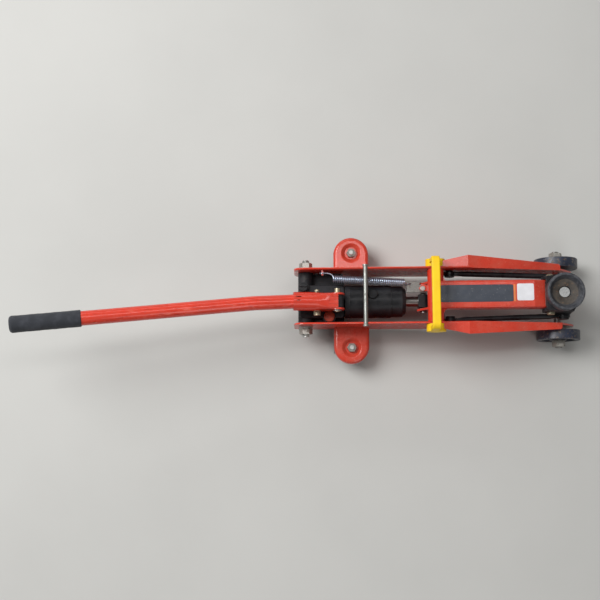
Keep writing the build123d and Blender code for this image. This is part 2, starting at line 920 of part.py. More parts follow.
# Fulcrum pin through the yoke's ears and the block's lug, with its clip.
ear_low = fulcrum_y - yoke_half
ear_high = fulcrum_y + yoke_half
clip_end = ear_low - side_gap - clip_thickness
with BuildPart() as fulcrum_pin:
    cross_bar(
        fulcrum_station, fulcrum_height, fulcrum_radius, clip_end - clip_thickness, ear_high + side_gap
    )
    cross_bar(
        fulcrum_station,
        fulcrum_height,
        fulcrum_head_radius,
        ear_high + side_gap,
        ear_high + side_gap + fulcrum_head_length,
    )
finish(fulcrum_pin, "fulcrum_pin")

with BuildPart() as fulcrum_clip:
    cross_bar(fulcrum_station, fulcrum_height, clip_radius, clip_end, ear_low - side_gap)
    cross_bar(
        fulcrum_station,
        fulcrum_height,
        fulcrum_radius,
        clip_end,
        ear_low - side_gap,
        mode=Mode.SUBTRACT,
    )
finish(fulcrum_clip, "fulcrum_clip")

# Pump yoke: a tube for the handle, pressed at its front into a fluted channel with two ears.
# Two slits near its rear end free the tongue that grips the handle.
fulcrum_point = Vector(x_at(fulcrum_station), fulcrum_y, fulcrum_height)
yoke_plane = Plane(origin=fulcrum_point, x_dir=socket_line, z_dir=(0, 1, 0))
yoke_top = Plane(origin=fulcrum_point, x_dir=socket_line, z_dir=yoke_plane.y_dir)
yoke_web_low = lug_radius + side_gap * 2
yoke_web_high = yoke_web_low + yoke_web_thickness
plunger_pin_point = yoke_plane.to_local_coords(
    Vector(x_at(plunger_station), fulcrum_y, plunger_height)
)
plunger_slot_half = plunger_pin_radius + plunger_drift / 2 + side_gap
plunger_eye_half = plunger_slot_half + plunger_eye_wall
handle_start = yoke_length - handle_entry


def yoke_section(distance):
    """Plane square to the yoke's line, a distance behind the fulcrum; sketch Y points up."""
    return Plane(origin=fulcrum_point + socket_line * distance, x_dir=(0, -1, 0), z_dir=socket_line)


with BuildPart() as handle_socket:
    with BuildSketch(yoke_section(press_start)):
        Circle(yoke_radius)
    extrude(amount=yoke_length - press_start)
    with BuildSketch(yoke_section(press_end)) as pressed:
        with Locations((0, (yoke_web_high - yoke_radius) / 2)):
            press_width = 2 * (yoke_half - yoke_press_inset)
            RectangleRounded(press_width, yoke_web_high + yoke_radius, yoke_corner)
    with BuildSketch(yoke_section(press_start)):
        Circle(yoke_radius)
    loft()
    extrude(pressed.sketch, amount=-press_end)
    for low_y in (yoke_ear_gap / 2, -yoke_half):
        with BuildSketch(yoke_plane.offset(low_y)):
            Circle(yoke_ear_radius)
            with Locations((plunger_pin_point.X, plunger_pin_point.Y)):
                Circle(plunger_pin_boss)
            make_hull()
        extrude(amount=yoke_ear_thickness)
    with BuildSketch(yoke_section(press_start)):
        Circle(yoke_radius - yoke_wall)
    extrude(amount=yoke_length, mode=Mode.SUBTRACT)
    with BuildSketch(yoke_plane.offset(-yoke_ear_gap / 2)):
        with Locations(((press_start - yoke_ear_radius) / 2, yoke_web_low - yoke_radius)):
            Rectangle(press_start + yoke_ear_radius + loose_gap, 2 * yoke_radius)
        with Locations(((press_start + handle_start) / 2, -yoke_radius)):
            Rectangle(handle_start - press_start, 2 * yoke_radius)
    extrude(amount=yoke_ear_gap, mode=Mode.SUBTRACT)
    with BuildSketch(yoke_section(-loose_gap)):
        for flute_y in (-flute_spacing, 0, flute_spacing):
            with Locations((flute_y, yoke_web_high + flute_radius - flute_depth)):
                Circle(flute_radius)
    extrude(amount=press_end + loose_gap, mode=Mode.SUBTRACT)
    with BuildSketch(yoke_top.offset(handle_radius - handle_wall)):
        with Locations((yoke_length - slit_setback, -slit_offset)):
            Rectangle(slit_length, slit_width)
        with Locations((yoke_length - slit_setback, 0)):
            Rectangle(slit_second_length, slit_width)
    extrude(amount=yoke_radius, mode=Mode.SUBTRACT)
    with BuildSketch(yoke_plane.offset(-yoke_half)):
        Circle(fulcrum_radius + running_gap)
        with Locations((plunger_pin_point.X, plunger_pin_point.Y)):
            Circle(plunger_pin_radius + running_gap)
    extrude(amount=2 * yoke_half, mode=Mode.SUBTRACT)
finish(handle_socket, "handle_socket")

# Plunger pin with its stepped head, its washer and its split pin.
pin_tail = ear_high + clip_thickness + pin_tail_length
with BuildPart() as plunger_pin:
    cross_bar(plunger_station, plunger_height, plunger_pin_radius, ear_low, pin_tail)
    cross_bar(plunger_station, plunger_height, pin_head_radius, ear_low - pin_head_length, ear_low)
    cross_bar(
        plunger_station,
        plunger_height,
        plunger_pin_radius + pin_head_radius - fulcrum_radius,
        ear_low - pin_head_length,
        ear_low - pin_head_length + clip_thickness,
    )
    post(
        plunger_station,
        pin_tail - pin_tail_length / 2,
        split_pin_radius + running_gap,
        plunger_height - split_pin_length / 2,
        plunger_height + split_pin_length / 2,
        mode=Mode.SUBTRACT,
    )
finish(plunger_pin, "plunger_pin")

with BuildPart() as plunger_washer:
    cross_bar(plunger_station, plunger_height, clip_radius, ear_high, ear_high + clip_thickness)
    cross_bar(
        plunger_station,
        plunger_height,
        plunger_pin_radius + running_gap,
        ear_high,
        ear_high + clip_thickness,
        mode=Mode.SUBTRACT,
    )
finish(plunger_washer, "plunger_washer")

with BuildPart() as split_pin:
    post(
        plunger_station,
        pin_tail - pin_tail_length / 2,
        split_pin_radius,
        plunger_height - split_pin_length / 2,
        plunger_height + split_pin_length / 2,
    )
finish(split_pin, "split_pin")

# Pump plunger, with a slotted eye for the pin, and the gland nut it slides through.
with BuildPart() as pump_plunger:
    post(plunger_axis_station, fulcrum_y, plunger_radius, plunger_bottom, plunger_height)
    with BuildSketch(upright(fulcrum_y + plunger_radius)):
        with Locations((x_at(plunger_axis_station), plunger_height)):
            RectangleRounded(2 * plunger_eye_half, plunger_eye_height, plunger_eye_wall)
    extrude(amount=2 * plunger_radius)
    with BuildSketch(upright(fulcrum_y + plunger_radius)):
        with Locations((x_at(plunger_axis_station), plunger_height)):
            SlotOverall(2 * plunger_slot_half, 2 * (plunger_pin_radius + side_gap))
    extrude(amount=2 * plunger_radius, mode=Mode.SUBTRACT)
finish(pump_plunger, "pump_plunger")

with BuildPart() as plunger_gland:
    gland_top = block_top + plunger_gland_height
    post_nut(plunger_axis_station, fulcrum_y, plunger_gland_flats, block_top, gland_top)
    post(
        plunger_axis_station,
        fulcrum_y,
        plunger_radius + running_gap,
        block_top,
        gland_top,
        mode=Mode.SUBTRACT,
    )
finish(plunger_gland, "plunger_gland")

# Handle: a tube with one gentle bend, and a foam sleeve on its far end.
socket_point = fulcrum_point + socket_line * socket_reach
handle_tip = socket_point - handle_line * (handle_entry / 2)
handle_bend = socket_point + handle_line * handle_first_length
handle_end = handle_bend + main_line * handle_main_length

with BuildPart() as handle_tube:
    with BuildLine() as handle_path:
        FilletPolyline(handle_tip, handle_bend, handle_end, radius=handle_bend_radius)
    with BuildSketch(Plane(origin=handle_tip, z_dir=handle_line)):
        Circle(handle_radius)
        Circle(handle_radius - handle_wall, mode=Mode.SUBTRACT)
    sweep(path=handle_path.line)
finish(handle_tube, "handle_tube")

grip_plane = Plane(origin=handle_bend, x_dir=main_line, z_dir=main_line.cross(Vector(0, 0, 1)))
with BuildPart() as handle_grip:
    with BuildSketch(grip_plane):
        with BuildLine():
            grip_start = main_far - grip_length
            sleeve_bore = handle_radius + running_gap
            Polyline(
                (main_far - grip_end_radius, grip_radius),
                (grip_start, grip_radius),
                (grip_start, sleeve_bore),
                (handle_main_length, sleeve_bore),
                (handle_main_length, 0),
                (main_far, 0),
                (main_far, grip_radius - grip_end_radius),
            )
            RadiusArc(
                (main_far, grip_radius - grip_end_radius),
                (main_far - grip_end_radius, grip_radius),
                -grip_end_radius,
            )
        make_face()
    revolve(axis=Axis(handle_bend, main_line))
finish(handle_grip, "handle_grip")

# Pivot shaft across the plates.
with BuildPart() as pivot_shaft:
    cross_bar(pivot_station, pivot_height, pivot_radius, -pivot_end_reach, pivot_end_reach)
finish(pivot_shaft, "pivot_shaft")

with BuildPart() as arm_pivot_tube:
    tube_end = plate_inner - side_gap
    cross_bar(pivot_station, pivot_height, pivot_tube_radius, -tube_end, tube_end)
    cross_bar(
        pivot_station, pivot_height, pivot_radius + running_gap, -tube_end, tube_end, Mode.SUBTRACT
    )
finish(arm_pivot_tube, "arm_pivot_tube")

# Lift arm: a folded channel that wraps the pivot tube, with two cranks reaching down to the ram.
arm_wrap_bore = pivot_tube_radius + running_gap
crank_slot_length = crank_reach - crank_drop + 2 * crank_slot_end_play
crank_slot_width = 2 * (ram_pin_radius + crank_slot_side_play)
crank_mid_reach = (crank_reach + crank_drop) / 2
crank_slope = math.radians(crank_angle)

with BuildPart() as lift_arm:
    with BuildSketch(upright(arm_half_width)):
        with Locations((x_at(pivot_station), pivot_height)):
            Circle(arm_wrap_radius)
        with Locations((x_at(front_station), front_height)):
            Circle(arm_front_radius)
        with Locations((x_at(arm_crest_station), arm_crest_height - arm_sheet)):
            Circle(arm_sheet)
        make_hull()
    extrude(amount=2 * arm_half_width)
    top_edges = lift_arm.edges().filter_by(
        lambda edge: abs(abs(edge.center().Y) - arm_half_width) < running_gap
        and edge.center().Z > front_height
        and edge.center().X > x_at(pivot_station)
        and edge.center().X < x_at(front_station)
    )
    fillet(top_edges, radius=arm_edge_radius)
    with BuildSketch(upright(arm_web_inner)):
        with BuildLine():
            Line((x_at(arm_sheet_end_station), 0), (x_at(pivot_station), 0))
        with Locations((x_at(pivot_station), pivot_height)):
            Circle(arm_wrap_bore)
        with Locations((x_at(front_station), front_height)):
            Circle(arm_front_radius - arm_sheet)
        with Locations((x_at(arm_crest_station), arm_crest_height - 2 * arm_sheet)):
            Circle(arm_sheet)
        make_hull()
    extrude(amount=2 * arm_web_inner, mode=Mode.SUBTRACT)
    with BuildSketch(upright(arm_web_inner)):
        with Locations((x_at(arm_sheet_end_station + arm_length / 2), front_height)):
            Rectangle(arm_length, arm_length)
    extrude(amount=2 * arm_web_inner, mode=Mode.SUBTRACT)
    with BuildSketch(upright(tube_end)):
        with Locations((x_at(pivot_station), pivot_height)):
            Circle(arm_wrap_radius)
        with Locations((x_at(pivot_station), pivot_height - arm_wrap_radius)):
            Rectangle(2 * arm_wrap_radius, 2 * arm_wrap_radius, mode=Mode.SUBTRACT)
    extrude(amount=2 * tube_end)
    for side, side_name in SIDES:
        web_low, web_high = sided(side, arm_web_inner, arm_half_width)
        with BuildSketch(upright(web_high)):
            with Locations((x_at(pivot_station), pivot_height)):
                Circle(arm_wrap_radius)
            with Locations((x_at(ram_pin_station), ram_height)):
                Circle(crank_eye_radius)
            make_hull()
        extrude(amount=arm_sheet)
    for side, side_name in SIDES:
        gusset_x = x_at(pivot_station + arm_wrap_radius)
        with BuildSketch(level(pivot_height)):
            with BuildLine():
                Polyline(
                    (gusset_x, side * (arm_half_width + arm_gusset_radius)),
                    (x_at(pivot_station), side * (arm_half_width + arm_gusset_radius)),
                    (x_at(pivot_station), side * arm_web_inner),
                    (gusset_x + arm_gusset_radius, side * arm_web_inner),
                    (gusset_x + arm_gusset_radius, side * arm_half_width),
                )
                RadiusArc(
                    (gusset_x + arm_gusset_radius, side * arm_half_width),
                    (gusset_x, side * (arm_half_width + arm_gusset_radius)),
                    side * arm_gusset_radius,
                )
            make_face()
        extrude(amount=arm_gusset_height)
    with BuildSketch(level(anchor_top)):
        with BuildLine():
            Polyline(
                (x_at(anchor_front_station), arm_web_inner),
                (x_at(anchor_front_station), anchor_lug_inner_y),
                (x_at(anchor_lug_tip_station + rivet_head_radius), anchor_lug_inner_y),
                (x_at(anchor_lug_tip_station), rivet_y),
                (x_at(anchor_lug_tip_station + rivet_head_radius), arm_web_inner),
                close=True,
            )
        make_face()
    extrude(amount=arm_sheet)
    cross_bar(
        pivot_station, pivot_height, arm_wrap_bore, -tube_end, tube_end, mode=Mode.SUBTRACT
    )
    cross_bar(
        front_station,
        front_height,
        base_pin_radius + running_gap,
        -arm_half_width,
        arm_half_width,
        mode=Mode.SUBTRACT,
    )
    with BuildSketch(upright(arm_half_width)):
        with Locations(
            Location(
                (
                    x_at(pivot_station) - crank_mid_reach * math.sin(crank_slope),
                    pivot_height - crank_mid_reach * math.cos(crank_slope),
                ),
                90 - crank_angle,
            )
        ):
            SlotCenterToCenter(crank_slot_length, crank_slot_width)
    extrude(amount=2 * arm_half_width, mode=Mode.SUBTRACT)
    post(
        rivet_station,
        rivet_y,
        rivet_radius + running_gap,
        anchor_top - loose_gap,
        anchor_top + arm_sheet + loose_gap,
        mode=Mode.SUBTRACT,
    )
finish(lift_arm, "lift_arm")

# Zinc anchor plate for the spring, riveted under the arm's rear lug.
hook_front_station = anchor_rear_station + anchor_edge / 2
anchor_hole_station = hook_front_station + hook_radius
with BuildPart() as spring_anchor:
    with BuildSketch(level(anchor_bottom)):
        with BuildLine():
            Polyline(
                (x_at(anchor_rear_station), anchor_inner_y),
                (x_at(anchor_front_station), anchor_inner_y),
                (x_at(anchor_front_station), arm_web_inner - side_gap),
                (x_at(anchor_step_station), arm_web_inner - side_gap),
                (x_at(anchor_step_station), anchor_outer_y),
                (x_at(anchor_rear_station), anchor_outer_y),
                close=True,
            )
        make_face()
        with Locations((x_at(anchor_hole_station), anchor_hole_y)):
            Circle(anchor_hole_radius, mode=Mode.SUBTRACT)
        with Locations((x_at(rivet_station), rivet_y)):
            Circle(rivet_radius + running_gap, mode=Mode.SUBTRACT)
    extrude(amount=anchor_thickness)
finish(spring_anchor, "spring_anchor")

with BuildPart() as anchor_rivet:
    post(rivet_station, rivet_y, rivet_radius, anchor_bottom, anchor_top + arm_sheet)
    lug_top = anchor_top + arm_sheet
    post(rivet_station, rivet_y, rivet_head_radius, lug_top, lug_top + rivet_head_height)
    fillet(anchor_rivet.faces().sort_by(Axis.Z)[-1].edges(), radius=rivet_head_height / 2)
finish(anchor_rivet, "anchor_rivet")

# Ram with its piston, the seal in the piston's groove, the ram head and its pin.
piston_front_station = piston_rear_station + piston_length
seal_station = piston_rear_station + (piston_length - seal_width) / 2
ram_front_station = ram_pin_station - ram_pin_radius - side_gap
with BuildPart() as ram:
    turned_on_ram(
        (
            (piston_rear_station, 0),
            (piston_rear_station, cylinder_bore),
            (seal_station, cylinder_bore),
            (seal_station, cylinder_bore - seal_depth),
            (seal_station + seal_width, cylinder_bore - seal_depth),
            (seal_station + seal_width, cylinder_bore),
            (piston_front_station, cylinder_bore),
            (piston_front_station, ram_radius),
            (ram_front_station, ram_radius),
            (ram_front_station, 0),
        )
    )
finish(ram, "ram")

with BuildPart() as piston_seal:
    turned_on_ram(
        (
            (seal_station, cylinder_bore - seal_depth),
            (seal_station, cylinder_bore),
            (seal_station + seal_width, cylinder_bore),
            (seal_station + seal_width, cylinder_bore - seal_depth),
        )
    )
finish(piston_seal, "piston_seal")

with BuildPart() as ram_head:
    with BuildSketch(upright(ram_y + ram_head_width / 2)):
        with BuildLine():
            Polyline(
                (x_at(ram_pin_station), ram_height + ram_head_radius),
                (x_at(ram_pin_station - ram_head_neck), ram_height + ram_head_radius),
                (x_at(ram_pin_station - ram_head_neck), ram_height - ram_head_radius),
                (x_at(ram_pin_station), ram_height - ram_head_radius),
            )
            ThreePointArc(
                (x_at(ram_pin_station), ram_height - ram_head_radius),
                (x_at(ram_pin_station + ram_head_radius), ram_height),
                (x_at(ram_pin_station), ram_height + ram_head_radius),
            )
        make_face()
    extrude(amount=ram_head_width)
    turned_on_ram(
        (
            (ram_front_station - yoke_length, 0),
            (ram_front_station - yoke_length, ram_radius + running_gap),
            (ram_front_station, ram_radius + running_gap),
            (ram_front_station, 0),
        ),
        mode=Mode.SUBTRACT,
    )
    cross_bar(
        ram_pin_station,
        ram_height,
        ram_pin_radius + running_gap,
        ram_y - ram_head_width,
        ram_y + ram_head_width,
        mode=Mode.SUBTRACT,
    )
finish(ram_head, "ram_head")

ram_pin_end = arm_half_width + ram_pin_end_play
with BuildPart() as ram_pin:
    cross_bar(ram_pin_station, ram_height, ram_pin_radius, -ram_pin_end, ram_pin_end)
finish(ram_pin, "ram_pin")

# Carry handle: an arch over the pivot whose end caps cover the shaft's ends.
cap_inner = plate_outer + side_gap
cap_outer = plate_outer + cap_length
carry_x = x_at(pivot_station - carry_lean)
with BuildPart() as carry_handle:
    with BuildSketch(across(carry_x - carry_bar_width / 2)) as arch:
        with Locations((0, pivot_height + carry_rise / 2)):
            Rectangle(2 * cap_outer, carry_rise)
        fillet(arch.vertices().group_by(Axis.Y)[-1], radius=carry_corner_radius)
        with Locations((0, pivot_height + (carry_rise - carry_bar_thickness) / 2)):
            Rectangle(
                2 * (cap_outer - carry_leg_thickness),
                carry_rise - carry_bar_thickness,
                mode=Mode.SUBTRACT,
            )
    extrude(amount=carry_bar_width)
    inner_corners = carry_handle.edges().filter_by(Axis.X)
    inner_corners = inner_corners.filter_by(
        lambda edge: abs(edge.center().Z - carry_bar_height + carry_bar_thickness) < running_gap
    )
    fillet(inner_corners, radius=carry_inner_radius)
    bar_edges = carry_handle.edges().filter_by(Axis.Y).group_by(Axis.Z)
    fillet(bar_edges[-1], radius=carry_bar_thickness / 4)
    for side, side_name in SIDES:
        y_low, y_high = sided(side, cap_inner, cap_outer)
        cross_bar(pivot_station, pivot_height, cap_radius, y_low, y_high)
        y_low, y_high = sided(side, cap_inner - loose_gap, pivot_end_reach + running_gap)
        cross_bar(
            pivot_station, pivot_height, pivot_radius + running_gap, y_low, y_high, Mode.SUBTRACT
        )
finish(carry_handle, "carry_handle")

# Front axle, the spacers between plates and wheels, the wheels and the axle's nuts.
with BuildPart() as front_axle:
    cross_bar(axle_station, axle_height, axle_radius, -axle_end_reach, axle_end_reach)
    chamfer(front_axle.edges(), length=loose_gap)
finish(front_axle, "front_axle")

with BuildPart() as axle_spacers:
    for side, side_name in SIDES:
        y_low, y_high = sided(side, plate_outer, plate_outer + spacer_length)
        cross_bar(axle_station, axle_height, spacer_radius, y_low, y_high)
        cross_bar(
            axle_station, axle_height, axle_radius + running_gap, y_low, y_high, Mode.SUBTRACT
        )
finish(axle_spacers, "axle_spacers")

with BuildPart() as axle_nuts:
    for side, side_name in SIDES:
        nut_inner = wheel_outer + side_gap
        y_low, y_high = sided(side, nut_inner, nut_inner + large_nut_height)
        cross_nut(axle_station, axle_height, large_nut_flats, y_low, y_high)
        cross_bar(
            axle_station, axle_height, axle_radius + running_gap, y_low, y_high, Mode.SUBTRACT
        )
finish(axle_nuts, "axle_nuts")

wheel_centre = (x_at(axle_station), 0, axle_height)
for side, side_name in SIDES:
    with BuildPart() as front_wheel:
        rows = (
            (axle_radius + running_gap, wheel_inner),
            (wheel_radius - wheel_edge, wheel_inner),
            (wheel_radius, wheel_inner + wheel_edge),
            (wheel_radius, wheel_outer - wheel_edge),
            (wheel_radius - wheel_edge, wheel_outer),
            (wheel_radius - wheel_rim_depth, wheel_outer),
            (wheel_radius - wheel_rim_depth - wheel_edge, wheel_outer - wheel_dish_depth),
            (wheel_hub_radius + wheel_edge, wheel_outer - wheel_dish_depth),
            (wheel_hub_radius, wheel_outer),
            (axle_radius + running_gap, wheel_outer),
        )
        profile = [(side * y, axle_height + radius) for radius, y in rows]
        turned(Axis(wheel_centre, (0, 1, 0)), across(x_at(axle_station)), profile)
    finish(front_wheel, f"front_wheel_{side_name}")

# Parallel links: round rods with pressed flat eyes, splayed a little towards the rear.
with BuildPart() as link_rear_pins:
    for side, side_name in SIDES:
        eye_inner = link_rear_y - link_eye_thickness / 2 - side_gap
        y_low, y_high = sided(side, eye_inner - link_pin_head_height, eye_inner)
        cross_bar(link_rear_station, link_rear_height, link_pin_head_radius, y_low, y_high)
        y_low, y_high = sided(side, eye_inner, plate_outer)
        cross_bar(link_rear_station, link_rear_height, link_pin_radius, y_low, y_high)
        y_low, y_high = sided(side, plate_outer, plate_outer + link_pin_head_height)
        cross_bar(link_rear_station, link_rear_height, link_pin_head_radius, y_low, y_high)
finish(link_rear_pins, "link_rear_pins")

with BuildPart() as link_front_pins:
    for side, side_name in SIDES:
        eye_outer = link_front_y + link_eye_thickness / 2 + side_gap
        y_low, y_high = sided(side, base_cheek_inner, eye_outer)
        cross_bar(link_front_station, link_front_height, link_pin_radius, y_low, y_high)
        y_low, y_high = sided(side, eye_outer, eye_outer + link_pin_head_height)
        cross_bar(link_front_station, link_front_height, link_pin_head_radius, y_low, y_high)
finish(link_front_pins, "link_front_pins")

for side, side_name in SIDES:
    rear_eye = Vector(x_at(link_rear_station), side * link_rear_y, link_rear_height)
    front_eye = Vector(x_at(link_front_station), side * link_front_y, link_front_height)
    link_line = (front_eye - rear_eye).normalized()
    taper_end = link_flat_end + link_taper_length
    rod_length = (front_eye - rear_eye).length - 2 * taper_end
    with BuildPart() as link_rod:
        with BuildSketch(Plane(origin=rear_eye + link_line * taper_end, z_dir=link_line)):
            Circle(link_rod_radius)
        extrude(amount=rod_length)
        for eye, run in ((rear_eye, link_line), (front_eye, -link_line)):
            flat_plane = Plane(origin=eye + run * link_flat_end, x_dir=(0, 0, 1), z_dir=run)
            with BuildSketch(flat_plane):
                Rectangle(2 * link_pin_radius, link_eye_thickness)
            with BuildSketch(flat_plane.offset(link_taper_length)):
                Circle(link_rod_radius)
            loft()
            with BuildSketch(flat_plane):
                Rectangle(2 * link_pin_radius, link_eye_thickness)
            extrude(amount=link_pin_radius - link_flat_end)
            cross_bar(
                eye.X + mid_station,
                eye.Z,
                link_eye_radius,
                eye.Y - link_eye_thickness / 2,
                eye.Y + link_eye_thickness / 2,
            )
            cross_bar(
                eye.X + mid_station,
                eye.Z,
                link_pin_radius + running_gap,
                eye.Y - link_eye_thickness,
                eye.Y + link_eye_thickness,
                mode=Mode.SUBTRACT,
            )
    finish(link_rod, f"link_rod_{side_name}")

# Saddle base: a casting with two cheeks on the arm's pin, link bosses and a platform.
with BuildPart() as saddle_base:
    for side, side_name in SIDES:
        y_low, y_high = sided(side, base_cheek_inner, base_cheek_outer)
        with BuildSketch(upright(y_high)) as cheek:
            with BuildLine():
                Line(
                    (x_at(base_rear_station), base_top - base_platform),
                    (x_at(base_front_station), base_top - base_platform),
                )
            with Locations((x_at(front_station), front_height)):
                Circle(base_pin_boss_radius)
            with Locations((x_at(link_front_station), link_front_height)):
                Circle(base_link_boss_radius)
            make_hull()
        extrude(cheek.sketch, amount=base_cheek_thickness)
        y_low, y_high = sided(side, base_cheek_inner, base_boss_outer)
        cross_bar(link_front_station, link_front_height, base_link_boss_radius, y_low, y_high)
    with BuildSketch(level(base_top - base_platform)) as platform:
        with Locations((x_at((base_rear_station + base_front_station) / 2), 0)):
            RectangleRounded(
                base_front_station - base_rear_station, 2 * base_cheek_outer, base_corner
            )
    extrude(platform.sketch, amount=base_platform)
    post(saddle_station, 0, base_stem_radius, base_stem_bottom, base_top)
    post(
        saddle_station,
        0,
        saddle_pin_radius + running_gap,
        base_stem_bottom,
        base_top,
        mode=Mode.SUBTRACT,
    )
    cross_bar(
        front_station,
        front_height,
        base_pin_radius + running_gap,
        -base_boss_outer,
        base_boss_outer,
        mode=Mode.SUBTRACT,
    )
    cross_bar(
        link_front_station,
        link_front_height,
        link_pin_radius + running_gap,
        -base_boss_outer,
        base_boss_outer,
        mode=Mode.SUBTRACT,
    )
finish(saddle_base, "saddle_base")

with BuildPart() as saddle_base_pin:
    pin_end = base_cheek_outer + base_pin_proud
    cross_bar(front_station, front_height, base_pin_radius, -pin_end, pin_end)
    chamfer(saddle_base_pin.edges(), length=loose_gap)
finish(saddle_base_pin, "saddle_base_pin")

# Saddle: a round cup with a bevelled rim and a stepped recess, on a headed pin sunk in its floor.
saddle_bottom = base_top + side_gap
saddle_floor = saddle_top - saddle_recess_depth
saddle_well_top = saddle_floor - saddle_floor_fall
saddle_well = saddle_well_top - saddle_pin_well_depth
saddle_axis = Axis((x_at(saddle_station), 0, 0), (0, 0, 1))
with BuildPart() as saddle:
    rows = (
        (saddle_pin_radius + running_gap, saddle_bottom),
        (saddle_foot_radius, saddle_bottom),
        (saddle_radius, saddle_bottom + saddle_foot_height),
        (saddle_radius, saddle_top - saddle_edge),
        (saddle_radius - saddle_edge, saddle_top),
        (saddle_radius - saddle_edge - saddle_rim_flat, saddle_top),
        (saddle_rim_radius, saddle_top - saddle_rim_depth),
        (saddle_floor_radius, saddle_floor),
        (saddle_pin_well_radius, saddle_well_top),
        (saddle_pin_well_radius, saddle_well),
        (saddle_pin_radius + running_gap, saddle_well),
    )
    turned(saddle_axis, upright(0), [(x_at(saddle_station) + radius, z) for radius, z in rows])
finish(saddle, "saddle")

with BuildPart() as saddle_pin:
    rows = (
        (0, base_stem_bottom - side_gap - clip_thickness),
        (saddle_pin_radius, base_stem_bottom - side_gap - clip_thickness),
        (saddle_pin_radius, saddle_well),
        (saddle_pin_head_radius, saddle_well),
        (saddle_pin_head_radius, saddle_well + saddle_pin_head_height),
        (0, saddle_well + saddle_pin_head_height),
    )
    turned(saddle_axis, upright(0), [(x_at(saddle_station) + radius, z) for radius, z in rows])
    fillet(saddle_pin.faces().sort_by(Axis.Z)[-1].edges(), radius=saddle_pin_head_height / 3)
finish(saddle_pin, "saddle_pin")

# Casters: bolts, nuts and thrust washers on the brackets, swivelling forks with their wheels.
with BuildPart() as caster_bolts:
    for side, side_name in SIDES:
        y = side * caster_reach
        bolt_top = dimple_floor + small_nut_height + thread_proud
        head_top = caster_head_bottom + caster_bolt_head_height
        post(caster_station, y, caster_bolt_head_radius, caster_head_bottom, head_top)
        post(caster_station, y, caster_bolt_radius, caster_head_bottom, bolt_top)
finish(caster_bolts, "caster_bolts")

with BuildPart() as caster_nuts:
    for side, side_name in SIDES:
        y = side * caster_reach
        nut_top = dimple_floor + small_nut_height
        post_nut(caster_station, y, small_nut_flats, dimple_floor, nut_top)
        post(
            caster_station, y, caster_bolt_radius + running_gap, dimple_floor, nut_top, Mode.SUBTRACT
        )
finish(caster_nuts, "caster_nuts")

with BuildPart() as caster_washers:
    for side, side_name in SIDES:
        y = side * caster_reach
        washer_low = washer_top - washer_height
        post(caster_station, y, washer_radius, washer_low, washer_top)
        post(
            caster_station,
            y,
            caster_bolt_radius + running_gap,
            washer_low,
            washer_top,
            Mode.SUBTRACT,
        )
finish(caster_washers, "caster_washers")

caster_axle_station = caster_station - caster_trail
leg_inner = caster_wheel_width / 2 + side_gap * 2
leg_outer = leg_inner + caster_leg_thickness
for side, side_name in SIDES:
    y = side * caster_reach
    with BuildPart() as caster_fork:
        post(caster_station, y, caster_plate_radius, caster_plate_bottom, caster_plate_top)
        for leg_side, leg_name in SIDES:
            leg_low, leg_high = sided(leg_side, leg_inner, leg_outer)
            with BuildSketch(upright(y + leg_high)) as leg:
                with BuildLine():
                    Line(
                        (x_at(caster_station - caster_boss_radius), caster_plate_top),
                        (x_at(caster_station + caster_boss_radius), caster_plate_top),
                    )
                with Locations((x_at(caster_axle_station), caster_wheel_radius)):
                    Circle(caster_boss_radius)
                make_hull()
            extrude(leg.sketch, amount=caster_leg_thickness)
        cross_bar(
            caster_axle_station,
            caster_wheel_radius,
            caster_axle_radius + running_gap,
            y - leg_outer,
            y + leg_outer,
            mode=Mode.SUBTRACT,
        )
        post(
            caster_station,
            y,
            caster_bolt_radius + running_gap,
            caster_plate_bottom,
            caster_plate_top,
            mode=Mode.SUBTRACT,
        )
    finish(caster_fork, f"caster_fork_{side_name}")

    with BuildPart() as caster_axle:
        axle_end = leg_outer + loose_gap
        cross_bar(
            caster_axle_station, caster_wheel_radius, caster_axle_radius, y - axle_end, y + axle_end
        )
    finish(caster_axle, f"caster_axle_{side_name}")

    with BuildPart() as caster_wheel:
        half = caster_wheel_width / 2
        cross_bar(caster_axle_station, caster_wheel_radius, caster_wheel_radius, y - half, y + half)
        chamfer(caster_wheel.edges(), length=loose_gap)
        cross_bar(
            caster_axle_station,
            caster_wheel_radius,
            caster_axle_radius + running_gap,
            y - half,
            y + half,
            mode=Mode.SUBTRACT,
        )
    finish(caster_wheel, f"caster_wheel_{side_name}")

# Return spring: one wire that hooks the plate's tab, winds its coil and hooks the anchor plate.
spring_rear = Vector(x_at(spring_rear_station), spring_rear_y, spring_rear_height)
spring_front = Vector(x_at(spring_front_station), spring_front_y, spring_front_height)
spring_line = (spring_front - spring_rear).normalized()
spring_up = (Vector(0, 0, 1) - spring_line * spring_line.Z).normalized()
spring_right = spring_line.cross(spring_up)
spring_pitch = (spring_front - spring_rear).length / spring_turns
coil_rise = spring_pitch / (2 * math.pi * spring_coil_radius)


def coil_node(half_turns):
    """Point and direction of the coil's helix after a number of half turns from its top."""
    turn = half_turns * math.pi
    centre = spring_rear + spring_line * (spring_pitch * half_turns / 2)
    outward = spring_up * math.cos(turn) + spring_right * math.sin(turn)
    along = spring_right * math.cos(turn) - spring_up * math.sin(turn)
    return centre + outward * spring_coil_radius, (along + spring_line * coil_rise).normalized()


def biarc(start, start_line, end, end_line):
    """Two arcs that meet smoothly and keep the directions given at both ends."""
    span = end - start
    sum_dot = span.dot(start_line + end_line)
    bend = 2 * (1 - start_line.dot(end_line))
    reach = (math.sqrt(sum_dot**2 + bend * span.dot(span)) - sum_dot) / bend
    start_handle = start + start_line * reach
    end_handle = end - end_line * reach
    joint = (start_handle + end_handle) * 0.5
    first = TangentArc(start, joint, tangent=start_line)
    second = TangentArc(joint, end, tangent=(end_handle - start_handle).normalized())
    return [first, second]


